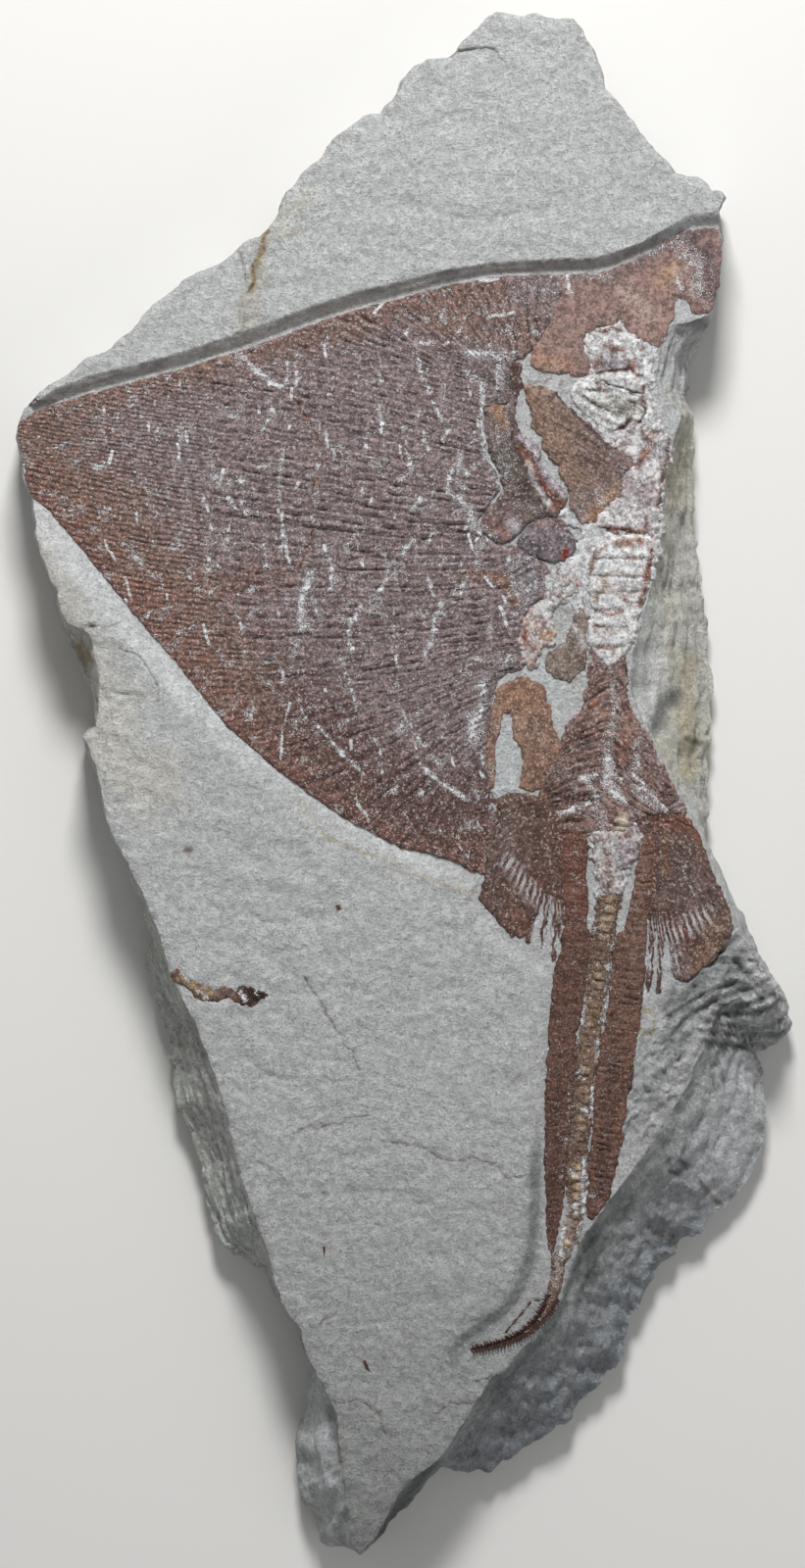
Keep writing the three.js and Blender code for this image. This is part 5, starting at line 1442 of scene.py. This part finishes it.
# Crumbled chalk and bone between the pieces, lapping over their edges: (CAD node, slot, name, ring)
EVERYWHERE = 200         # a reach that covers a whole piece
BEDS = [
    ("jaw_cartilages", "jaw_crust", "jaw_crumble",
     [(53, 131), (58, 132.5), (58.5, 129), (53.5, 125), (57, 118), (63, 111), (69, 105), (72, 100),
      (80, 112), (79, 122), (79.5, 133), (80, 140), (76, 143.5), (70.5, 146.5), (63, 147),
      (57, 144.5), (56, 139)]),
    ("neck_cartilage", "neck_crust", "neck_crumble",
     [(71, 102), (66, 95), (60, 88), (57, 82), (60, 77), (59, 70), (79.5, 66), (81, 74), (82.6, 84),
      (82.6, 98), (84.6, 110), (82, 117), (77, 113)]),
    ("shoulder_crust", "shoulder_crust", "shoulder_crumble",
     [(46, 88), (51, 88), (57, 82), (61, 77), (59.5, 62), (60, 44), (57.5, 36), (57, 52), (52, 57),
      (46, 56), (43, 50), (42, 39), (36.5, 37), (35, 44), (38, 54), (42, 60), (44, 67), (49, 71),
      (54, 74), (55, 80), (51, 84)]),
    ("hip_crust", "hip_crust", "hip_crumble",
     [(60, -12), (66, -8), (75, -13), (73, -24), (70, -34), (66, -38), (61, -36), (60, -26)]),
]
for node, slot, name, outline in BEDS:
    lay_film(node, crust_mineral, (208, 208, 210), name=name, outline=outline, step=0.5,
             top=0.5, rough_height=0.6, ragged=1.3, spread=0.2, dome=1.2,
             veins=((116, 80, 64), 0.85, 8), chalk=[(0.5, EVERYWHERE, outline[0])])

spine_mineral = skin_material(
    "spine_mineral", grain_mm=0.8, light=0.6, dark=0.3, light_colour=(226, 227, 228),
    dark_colour=(140, 120, 108), bump_mm=0.3)
lay_film(
    "spine_blocks", spine_mineral, (208, 208, 208), top=1.3, rough_height=0.26,
    ragged=0.7, spread=0.9, veins=((136, 92, 68), 0.6, 9),
    washes=[
        ((104, 58, 42), 1.0, 2.0, (79, 74), (77.5, 68), (76.5, 62), (75, 58)),
        ((132, 84, 58), 0.9, 2.4, (68, 77), (75, 77.5)),
        ((118, 72, 52), 0.9, 1.2, (59, 67), (61, 73), (64, 76)),
        ((120, 66, 44), 0.95, 1.1, (63, 54.8), (65.5, 53.8), (67, 54.3), (69.5, 54.8)),
        ((120, 72, 50), 0.95, 1.0, (60.5, 50.6), (64, 50), (67, 49.8)),
        ((136, 96, 74), 0.8, 1.2, (60.5, 58), (62, 61)),
        ((120, 66, 44), 0.95, 1.0, (61, 43.5), (66, 43.2), (69, 44.8)),
        ((120, 78, 60), 0.8, 1.0, (69, 59), (72, 58)),
        ((160, 132, 96), 0.8, 1.8, (63, 65), (66, 62)),
        ((150, 120, 96), 0.6, 0.8, (62, 66), (68, 68), (74, 66)),
        ((150, 120, 96), 0.6, 0.8, (62, 61), (70, 60), (75, 62)),
        ((176, 120, 70), 0.9, 1.6, (73, 72)), (DEEP_BROWN, 0.7, 1.0, (59, 70), (61, 75))],
    chalk=[(0.55, 9, (66, 70), (67, 46))],
    bumps=[
        (-0.45, 0.9, (60, 55.5), (70, 55.5)), (-0.45, 0.9, (60, 50.3), (71, 50)),
        (-0.4, 0.9, (61, 61), (75, 61.5)), (-0.4, 0.9, (60, 66.5), (76, 66)),
        (-0.4, 0.9, (60, 44), (70, 44)), (-0.4, 0.9, (60, 72), (76, 72))])
lay_film(
    "hip_crust", crust_mineral, (180, 174, 174), top=CRUST_TOP, rough_height=0.6,
    ragged=1.0, spread=1.0, veins=(DEEP_BROWN, 0.85, 5),
    washes=[
        ((128, 104, 92), 0.8, 2.5, (64, -22), (65, -32)), (LILAC, 0.6, 3, (70, -19), (70, -27)),
        (RUST, 0.6, 1.5, (62, -18), (72, -16))],
    chalk=[(0.6, 4, (66, -18), (68, -27)), (0.5, 2, (62, -20), (63, -28))])

# ----------------------------------------------------------------------------------------------
# The belly and the trunk: a rusty arch of skin round a bare patch of stone, a dark lobe above
# it, and the ribbed trunk, whose stripes slant away from a white middle line on both sides.
# ----------------------------------------------------------------------------------------------

belly_mineral = skin_material("belly_mineral", grain_mm=0.9, light=0.6, dark=0.6,
                              light_colour=(206, 190, 176), bump_mm=0.35)
lay_film("belly_lobe",
         skin_material("lobe_mineral", grain_mm=0.9, light=0.7, dark=0.7),
         (122, 108, 99), rough_height=0.2,
         ragged=0.5, speckle=[(0.2, 14, (50, 38), (56, 50))],
         washes=[((112, 98, 84), 0.7, 5, (50, 38), (55, 38)), (PALE, 0.5, 2, (54, 50), (57, 44))])
lay_film(
    "belly_skin", belly_mineral, (136, 106, 90), rough_height=0.16, ragged=0.5,
    spread=0.7,
    speckle=[(0.22, 30, (36, 18))],
    washes=[
        ((146, 110, 84), 0.6, 5, (32, 28), (42, 28)), ((110, 82, 70), 0.7, 4, (40, 12), (42, 2)),
        ((128, 100, 90), 0.6, 4, (28, 16), (28, 4))],
    chalk=[(0.4, 4, (30, 24), (29, 10)), (0.35, 5, (42, 24), (44, 12)), (0.5, 2, (28, 2), (28, 8))])
trunk_mineral = skin_material(
    "trunk_mineral", grain_mm=0.9, groove_shade=0.95, light=0.75, dark=0.75, scatter=0.2, bump_mm=0.55)
lay_film(
    "trunk_ribs", trunk_mineral, (126, 100, 92), step=0.48, ray_height=1.4,
    rough_height=0.28, smooth_chalk=1.6,
    ragged=0.6, spread=0.8, veins=((196, 192, 194), 0.3, 9),
    speckle=[
        (0.42, 4, (67, 28), (66, 18), (64, 10)), (0.45, 5, (58, 1), (61, -4)),
        (0.42, 4, (74, 14), (74, 4)), (0.45, 5, (74, -2), (80, -7)), (0.42, 5, (62, -8), (64, -14)),
        (0.33, 5, (64, 40), (67, 32)), (0.3, 6, (50, 4), (54, -2))],
    rays=[
        (0, (40, -17), (55, -16), (66, -16), (76, -16), (92, -20)),
        (2.4, (42, -8), (50, -6.5), (60, -5.5), (66, -8), (74, -12), (91, -18)),
        (5, (43, -5), (50, -0.5), (58, 2.5), (65, 2), (73, -5), (89, -14)),
        (8, (44, -1), (50, 6), (57, 10), (65, 11), (73, 3), (86, -9)),
        (11.5, (48, 9), (53, 15), (59, 19), (66, 21), (73, 13), (83, 0)),
        (15, (54, 25), (59, 30), (66, 34), (70, 28), (77, 15)),
        (17, (57, 37), (62, 41), (66, 45), (70, 41), (74, 34))],
    washes=[
        ((96, 70, 60), 0.8, 6, (48, 0), (56, -5)), (RUST, 0.5, 4, (60, 26), (64, 24)),
        ((140, 96, 82), 0.8, 4, (70, 16), (70, 8)), ((86, 58, 52), 0.8, 5, (84, -4), (87, -9)),
        ((104, 70, 60), 0.7, 5, (52, 14), (58, 18)), ((126, 96, 84), 0.7, 4, (70, 24), (72, 20)),
        ((82, 50, 42), 0.9, 1.2, (67, 13.5), (70, 11), (74, 10.5)),
        ((82, 50, 42), 0.9, 1.0, (67, 9), (67.5, 5.6), (71.5, 5.4), (74, 8)),
        ((200, 188, 170), 0.95, 3.2, (70, -11), (67.5, -18)),
        ((62, 40, 34), 0.9, 1.2, (44, -2.5), (55, -5), (62, -5)),
        ((62, 40, 34), 0.8, 1.0, (50, -10), (61, -10))],
    chalk=[
        (1.1, 2.0, (64.5, 8), (65.6, 4), (64.4, 1), (67, -3)), (0.9, 1.2, (66, -2), (70.5, -5.5)),
        (0.8, 1.6, (69, 1), (73, 3), (74, 6)), (0.9, 1.1, (56, 2), (61, 3)),
        (0.9, 1.1, (74, 2), (79, -4), (83, -8.5)), (0.9, 1.0, (59, -6), (53, -8), (48, -10)),
        (0.6, 2.0, (67, 26), (66, 14)), (0.6, 2.0, (70, -6), (75, -10))],
    bumps=[
        (-0.5, 0.8, (44, -2.5), (55, -5), (62, -5)), (0.5, 2.4, (70, 17), (71, 13)),
        (0.5, 2.2, (70, 8)), (0.3, 2.0, (70, -12), (67, -18))])

# torn skin that joins the trunk, the fins and the two bands of the tail
for name, outline in (
    ("left_hip_skin", [(43, 2), (51, 0), (57, -13), (58.5, -20), (57.5, -26), (49, -34), (46, -22),
                       (43, -8)]),
    ("right_hip_skin", [(72, -13), (79, -6), (88, -6), (82, -22), (79, -44), (74.5, -40),
                        (75, -26)]),
):
    lay_film("trunk_ribs", trunk_mineral, (100, 70, 60), step=0.5, top=0.72,
             rough_height=0.3, ragged=0.9, spread=0.2, outline=outline,
             veins=((64, 46, 40), 0.7, 7),
             washes=[
                 ((78, 46, 38), 0.9, 4, (77, -11), (88, -14)),
                 ((168, 124, 80), 0.7, 1.3, (83, -14), (84, -30)),
                 ((112, 72, 58), 0.8, 5, (78, -20), (78, -32)),
                 ((112, 72, 58), 0.8, 5, (53, -16), (53, -30)),
                 ((170, 134, 78), 0.9, 1.4, (43, -4.5))],
             speckle=[(0.2, 40, outline[0])], name=name)

# ----------------------------------------------------------------------------------------------
# The pelvic fins: two fans of film at the hips whose outer rays end in free red-brown fingers
# over the bare stone.
# ----------------------------------------------------------------------------------------------

fin_mineral = skin_material(
    "pelvic_mineral", grain_mm=0.9, groove_shade=0.85, groove_shade_colour=(80, 48, 40), light=0.75,
    dark=0.75, bump_mm=0.5)
lay_film(
    "left_pelvic_fin", fin_mineral, (101, 79, 71), step=0.45, ray_height=0.6,
    ragged=0.5, veins=((70, 52, 46), 0.6, 6),
    rays=[
        (0, (46, -3), (34, -4), (24, -12), (19, -24)),
        (5, (47, -8), (38, -14), (29, -25), (21, -38)),
        (9, (48, -12), (41, -22), (35, -35), (29, -50)),
        (12, (49, -16), (44, -28), (40.5, -42), (38, -54)),
        (14, (50, -20), (46, -32), (44, -44), (43, -56)),
        (16, (50.5, -22), (48.4, -34), (47.8, -46), (47.4, -58)),
        (18, (52, -22), (50.4, -34), (50, -46), (49.8, -54))],
    spread=0.2, bare=[(0.55, 4.5, (33, -25), (38, -32), (43, -37), (48, -41)),
                      (0.9, 5, (43, -48), (49, -50))],
    washes=[
        ((96, 62, 52), 0.8, 6, (42, -30), (47, -46)), ((118, 78, 62), 0.7, 6, (34, -42), (40, -48)),
        ((108, 90, 86), 0.7, 7, (32, -14), (28, -26)), (DEEP_BROWN, 0.6, 4, (44, -8), (48, -20))],
    chalk=[
        (0.35, 4.5, (32, -10), (34, -22)), (0.4, 2.2, (36, -34), (42, -40)),
        (0.35, 3, (28, -36), (34, -44))])
lay_film(
    "right_pelvic_fin", fin_mineral, (106, 86, 80), step=0.45,
    ray_height=0.6,
    ragged=0.5, veins=((70, 52, 46), 0.6, 6),
    rays=[
        (0, (76, -7), (90, -8), (98, -20), (108, -40)),
        (5, (77, -12), (88, -20), (96, -34), (106, -52)),
        (9, (77, -16), (85, -28), (91, -44), (98, -62)),
        (12, (77, -20), (82, -34), (86, -50), (89, -67)),
        (14, (77, -24), (80.5, -38), (83, -52), (85, -66)),
        (17, (77, -28), (79, -42), (80.3, -55), (80.9, -68)),
        (19, (75, -28), (77, -42), (77.5, -55), (77.2, -68))],
    spread=0.2, bare=[(0.6, 5.5, (80, -46), (86, -48), (91, -45), (95, -42)),
                      (0.9, 6, (79, -56), (84, -56))],
    washes=[
        ((128, 80, 60), 0.8, 4, (78, -11), (92, -13), (95, -19)),
        ((150, 112, 78), 0.6, 1.6, (83, -15), (83, -30)),
        ((96, 56, 46), 0.9, 5, (84, -44), (92, -50)),
        ((136, 108, 84), 0.7, 6, (100, -44), (94, -58)),
        ((92, 60, 50), 0.8, 4, (79, -40), (80, -62))],
    chalk=[
        (0.4, 5, (88, -26), (94, -36)), (0.4, 3, (96, -50), (100, -46)),
        (0.5, 2, (85, -50), (87, -60))])

# ----------------------------------------------------------------------------------------------
# The tail: two dark red-brown bands of skin beside a row of ochre vertebrae, running out into a
# thorny whip, with a thin thread of cartilage lying beside it.
# ----------------------------------------------------------------------------------------------

tail_mineral = skin_material(
    "tail_mineral", grain_mm=0.7, groove_shade=0.5, light=0.5, dark=0.6, light_colour=(176, 160, 154),
    dark_colour=(46, 28, 24), groove_shade_colour=(48, 30, 26), scatter=0.2, bump_mm=0.45)
TAIL_STRIPES = [(0, (40, -12), (84, -18)), (18, (40, -64), (84, -70)), (60, (38, -150), (80, -158))]
lay_film(
    "tail_skin_left", tail_mineral, (96, 68, 58), rays=TAIL_STRIPES,
    ray_height=0.3, rough_height=0.25, ragged=0.4, speckle=[(0.1, 90, (50, -70))],
    washes=[
        ((112, 72, 60), 0.9, 9, (54, -18), (54, -42)),
        ((78, 54, 46), 0.6, 5, (48, -100), (47, -140))],
    chalk=[
        (0.35, 4, (54, -20), (54, -44)), (0.3, 2.5, (48, -80), (46, -120)),
        (0.5, 1.2, (53, -96), (50, -126))])
lay_film(
    "tail_skin_right", tail_mineral, (106, 76, 64), rays=TAIL_STRIPES,
    ray_height=1.0, rough_height=0.3, ragged=0.4, speckle=[(0.17, 90, (70, -70))],
    washes=[
        ((118, 90, 78), 0.8, 6, (76, -20), (72, -60)),
        ((88, 64, 58), 0.7, 4, (66, -90), (63, -130))],
    chalk=[
        (0.35, 3, (75, -20), (74, -50)), (0.3, 3, (66, -70), (64, -110)),
        (0.5, 2, (59, -130), (62, -134))])

# Middle of the spine: [x, y, half width]
SPINE = [
    [64.6, -35.3, 2.9], [64.6, -42, 3], [63.4, -48, 3], [62.4, -55, 2.9], [61.4, -62, 2.8],
    [60.6, -69, 2.7], [59.8, -75, 2.6], [58.8, -81, 2.6], [58, -88, 2.5], [57.4, -95, 2.4],
    [57, -101, 2.3], [56.5, -107, 2.3], [55.8, -113, 2.3], [55, -119, 2.3], [54.6, -125, 2.3],
    [54.4, -131, 2.3], [54.1, -137, 2.2], [53.2, -142.5, 2], [51.6, -148, 1.6],
]
CENTRUM = 3.05           # length of one vertebra
SPINE_LENGTH = 114.5     # length of the whole row
BEAD_HEIGHT = 1.55       # how far a vertebra stands out of the pocket's floor
FULLEST = 1.6            # how much of a barrel a ball may be filled out to

spine_line, _ = smooth_line(SPINE, int(SPINE_LENGTH / CENTRUM) + 1)
beads = bmesh.new()
bead_random = np.random.default_rng(4)
for point, following in zip(spine_line[:-1], spine_line[1:]):
    centre = (point + following) / 2 + bead_random.uniform(-0.35, 0.35, 3) * (1, 0.8, 0)
    turn = math.atan2(*(following - point)[1::-1])
    cosine, sine = math.cos(turn), math.sin(turn)
    bead = bmesh.ops.create_uvsphere(beads, u_segments=16, v_segments=9, radius=1)["verts"]
    width = centre[2] * bead_random.uniform(0.72, 1.15)
    tall = BEAD_HEIGHT * bead_random.uniform(0.6, 1.1)
    bead_random.random()  # a spare draw between one vertebra and the next
    for v in bead:
        x, y, z = v.co
        full = (1 - 0.55 * x ** 6) / max(0.35, math.sqrt(max(0.0, 1 - x * x)) + 0.12)
        full = min(full, FULLEST)
        x, y, z = x * CENTRUM * 0.53, y * width * full, z * tall * full
        spot = Vector((x + centre[0], y + centre[1], z)) * 0.9
        shake = noise.fractal(spot, 1.0, 2.0, 3) * 0.42
        v.co = (centre[0] + cosine * x - sine * y * (1 + shake),
                centre[1] + sine * x + cosine * y * (1 + shake),
                POCKET_Z + z + shake * 0.5)
for v in beads.verts:
    v.co = v.co * MM
bead_mesh = bpy.data.meshes.new("tail_vertebrae")
beads.to_mesh(bead_mesh)
beads.free()
spots = np.array([v.co for v in bead_mesh.vertices]) / MM
tint = np.tile(srgb(134, 114, 98), (len(spots), 1))
tint *= (1 + 0.35 * rough(spots, 2.6, 3, 5))[:, None]
to_joint = np.min([np.linalg.norm(spots[:, :2] - p[:2], axis=1) for p in spine_line], axis=0)
high = np.clip((spots[:, 2] - POCKET_Z - 0.5) / 1.0, 0, 1)
lower_down = np.clip((-52 - spots[:, 1]) / 30, 0.4, 1)
# the tops of the vertebrae paler ochre, partly their own colour and partly a painted highlight,
# less towards the head
ochre_and_highlight = np.clip(high * (0.55 + 1.3 * rough(spots, 4, 3, 8)), 0, 0.95)
tint = blended(tint, (204, 178, 150), lower_down * ochre_and_highlight)
tint = blended(tint, (92, 70, 60), np.clip(rough(spots, 6, 2, 9) * 2.4 + 0.1, 0, 0.85))
tint = blended(tint, (66, 44, 34), np.clip(1.25 - to_joint / 0.9, 0, 1) * 0.9)
# painted shade round the foot of each vertebra, where it meets the bed
tint = blended(tint, (66, 46, 38), np.clip(1 - high * 2.4, 0, 1) * 0.7)
paint(bead_mesh, "Tint", tint)
paint(bead_mesh, "Chalk", np.clip(rough(spots, 3.5, 2, 12) * 0.9, 0, 0.6))
vertebra_mineral = skin_material(
    "vertebra_mineral", roughness=0.7, specular=0.35, grain_mm=0.55, light=0.45, dark=0.5,
    light_colour=(206, 186, 156), dark_colour=(84, 60, 44))
finish("tail_vertebrae", bead_mesh, vertebra_mineral, ["tail_vertebrae"])

whip_mineral = skin_material("whip_mineral", light=0.7, light_colour=(196, 184, 176),
                             dark_colour=(50, 34, 30), bump_mm=0.5, scatter=0.3)
lay_film(
    "tail_whip", whip_mineral, (96, 74, 64), step=0.36, top=1.25, rough_height=0.5,
    ragged=0.35, spread=0.0, dome=0.8,
    washes=[
        ((78, 54, 46), 0.9, 5, (43, -171), (34, -177), (21, -181)),
        ((150, 126, 108), 0.6, 3, (49, -152), (48, -160))],
    speckle=[(0.36, 5, (50, -148), (48, -160)), (0.25, 4, (47, -160), (44, -170))])

# Middle of the whip: [x, y, half width]. The thorns stand in pairs along its thin part.
WHIP = [[47.2, -163.5, 2], [44.6, -168.4, 1.5], [41.6, -172, 1.1], [38.6, -174.6, 0.8],
        [34.5, -176.8, 0.6], [30, -178.4, 0.5], [25, -179.7, 0.4], [21, -180.6, 0.35]]
THORN_PAIRS = 33
THORN = 2.3              # length of the first thorns

whip_line, _ = smooth_line(WHIP, THORN_PAIRS + 1)
thorns = bmesh.new()
thorn_random = np.random.default_rng(6)
for i in range(THORN_PAIRS):
    along = whip_line[i + 1, :2] - whip_line[i, :2]
    along /= np.linalg.norm(along)
    across = np.array([-along[1], along[0]])
    for sign in (1, -1):
        size = THORN - 0.02 * i + thorn_random.uniform(-0.4, 0.4)
        away = across * sign + along * thorn_random.uniform(0.1, 0.6)
        lean = Vector((*away, thorn_random.uniform(0.35, 0.8))).normalized()
        root = whip_line[i, :2] + across * sign * whip_line[i, 2] * 0.55
        turn = lean.to_track_quat("Z", "X").to_matrix().to_4x4()
        turn.translation = Vector((*root, POCKET_Z + 0.75)) + lean * size * 0.4
        bmesh.ops.create_cone(thorns, cap_ends=True, segments=7, radius1=0.55, radius2=0.16,
                              depth=size, matrix=turn)
for v in thorns.verts:
    v.co = v.co * MM
thorn_mesh = bpy.data.meshes.new("whip_thorns")
thorns.to_mesh(thorn_mesh)
thorns.free()
paint(thorn_mesh, "Tint", np.tile(srgb(70, 42, 32), (len(thorn_mesh.vertices), 1)))
thorn_mineral = skin_material("thorn_mineral", light=0.25, dark=0.4, scatter=0.02)
finish("whip_thorns", thorn_mesh, thorn_mineral, ["tail_whip"])

# Crushed bone and chalk that the vertebrae lie in, down to the root of the whip
left = [(p[0] - (3.9 - 0.018 * i), p[1]) for i, p in enumerate(spine_line)]
right = [(p[0] + (3.7 - 0.018 * i), p[1]) for i, p in enumerate(spine_line)]
BED_OUTLINE = left + [(47.4, -150), (50.5, -153.5), (53.5, -149)] + right[::-1]
bed_mineral = skin_material(
    "spine_bed_mineral", light=0.75, dark=0.75, scatter=0.3, light_colour=(196, 184, 170),
    dark_colour=(64, 44, 34), bump_mm=0.5)
lay_film(
    "tail_vertebrae", bed_mineral, (106, 84, 70), step=0.45, top=0.85,
    rough_height=0.55, ragged=0.9, spread=0.1,
    outline=BED_OUTLINE, name="spine_bed", veins=((58, 40, 34), 0.7, 4),
    washes=[
        ((100, 78, 66), 0.8, 5, (65, -38), (63, -58)),
        ((146, 112, 84), 0.6, 3, (60, -70), (57, -100)),
        ((160, 150, 144), 0.8, 5, (52, -136), (51, -148))],
    chalk=[
        (1.0, 1.7, (56.2, -62), (56.2, -76)), (1.0, 1.2, (54.4, -77), (54.2, -84)),
        (0.9, 1.1, (64.2, -69), (63.6, -77)), (0.9, 1.3, (61.8, -82), (61.5, -88)),
        (0.9, 1.0, (59.9, -97), (59.6, -106)), (1.0, 1.5, (57, -120), (57, -136)),
        (0.7, 3.2, (50.6, -132), (49.6, -150)), (0.55, 3, (57, -138), (54, -148)),
        (0.4, 1.0, (61, -40), (58, -64))])
lay_film("tail_thread", whip_mineral, (84, 58, 48), step=0.3, top=0.8,
         spread=0.0, ragged=0.25, rough_height=0.12, dome=0.3)

# ----------------------------------------------------------------------------------------------
# Small remains on the bare face: a scrap of a little fish and three chips of bone.
# ----------------------------------------------------------------------------------------------

scrap_mineral = skin_material("scrap_mineral", grain_mm=0.55, light=0.4, dark=0.75,
                              light_colour=(190, 172, 150), dark_colour=(48, 28, 26))
lay_film(
    "fish_scrap", scrap_mineral, (108, 82, 66), step=0.35, top=0.4, on_face=True,
    rough_height=0.3, spread=0.0, ragged=0.9, veins=((52, 32, 28), 0.8, 3),
    washes=[
        ((168, 146, 116), 0.7, 2.6, (-71, -62), (-66, -65), (-61, -67)),
        ((124, 108, 102), 0.8, 3, (-60, -66), (-54, -66)),
        ((42, 16, 16), 1.0, 10, (-49, -66.5), (-41, -67.5))],
    chalk=[
        (0.9, 0.9, (-71, -60), (-69, -63)), (0.9, 0.9, (-66, -66), (-63, -68)),
        (1.0, 1.0, (-52.5, -66), (-51, -69)), (0.8, 0.8, (-47.5, -65), (-47, -67))])
for chip in ("chip_upper", "chip_middle", "chip_lower"):
    lay_film(chip, scrap_mineral, (100, 60, 46), step=0.25, top=0.35,
             on_face=True, spread=-0.05, ragged=0.05, rough_height=0.12, dome=0.3)

# ----------------------------------------------------------------------------------------------
# The studio: a plain pale floor, soft light from beyond the slab's top, a weak fill from the
# lower right, and a camera straight above the fossil face.
# ----------------------------------------------------------------------------------------------

FRAME_HEIGHT = 0.5       # what the picture spans from top to bottom at the face, in metres
CAMERA_RISE = 2.6        # how far above the face the camera stands
CAMERA_X = -0.00078      # the picture's middle
FACE_LEVEL = 0.031

floor_mesh = bpy.data.meshes.new("floor")
floor_bm = bmesh.new()
bmesh.ops.create_grid(floor_bm, x_segments=1, y_segments=1, size=4)
floor_bm.to_mesh(floor_mesh)
floor_bm.free()
floor = bpy.data.objects.new("floor", floor_mesh)
bpy.context.scene.collection.objects.link(floor)
paper = bpy.data.materials.new("floor_paper")
paper.use_nodes = True
paper_shader = paper.node_tree.nodes["Principled BSDF"]
paper_shader.inputs["Base Color"].default_value = (*srgb(226, 225, 222), 1)
paper_shader.inputs["Roughness"].default_value = 0.9
floor_mesh.materials.append(paper)

camera_data = bpy.data.cameras.new("camera")
camera_data.lens = camera_data.sensor_width * CAMERA_RISE / FRAME_HEIGHT
camera_data.clip_end = 20
camera = bpy.data.objects.new("camera", camera_data)
camera.location = (CAMERA_X, 0, FACE_LEVEL + CAMERA_RISE)
bpy.context.scene.collection.objects.link(camera)
bpy.context.scene.camera = camera

# (name, place, size, power)
LAMPS = [
    ("key", (0.0, 1.08, 0.97), 0.32, 21.5),
    ("fill", (0.8, -0.9, 0.9), 1.2, 3.5),
]
for name, place, size, power in LAMPS:
    lamp_data = bpy.data.lights.new(name, "AREA")
    lamp_data.size = size
    lamp_data.energy = power
    lamp = bpy.data.objects.new(name, lamp_data)
    lamp.location = place
    lamp.rotation_euler = (-Vector(place)).to_track_quat("-Z", "Y").to_euler()
    bpy.context.scene.collection.objects.link(lamp)
world = bpy.data.worlds.new("studio")
world.use_nodes = True
world.node_tree.nodes["Background"].inputs["Color"].default_value = (1, 1, 1, 1)
world.node_tree.nodes["Background"].inputs["Strength"].default_value = 0.24
bpy.context.scene.world = world
bpy.context.scene.view_settings.view_transform = "Standard"
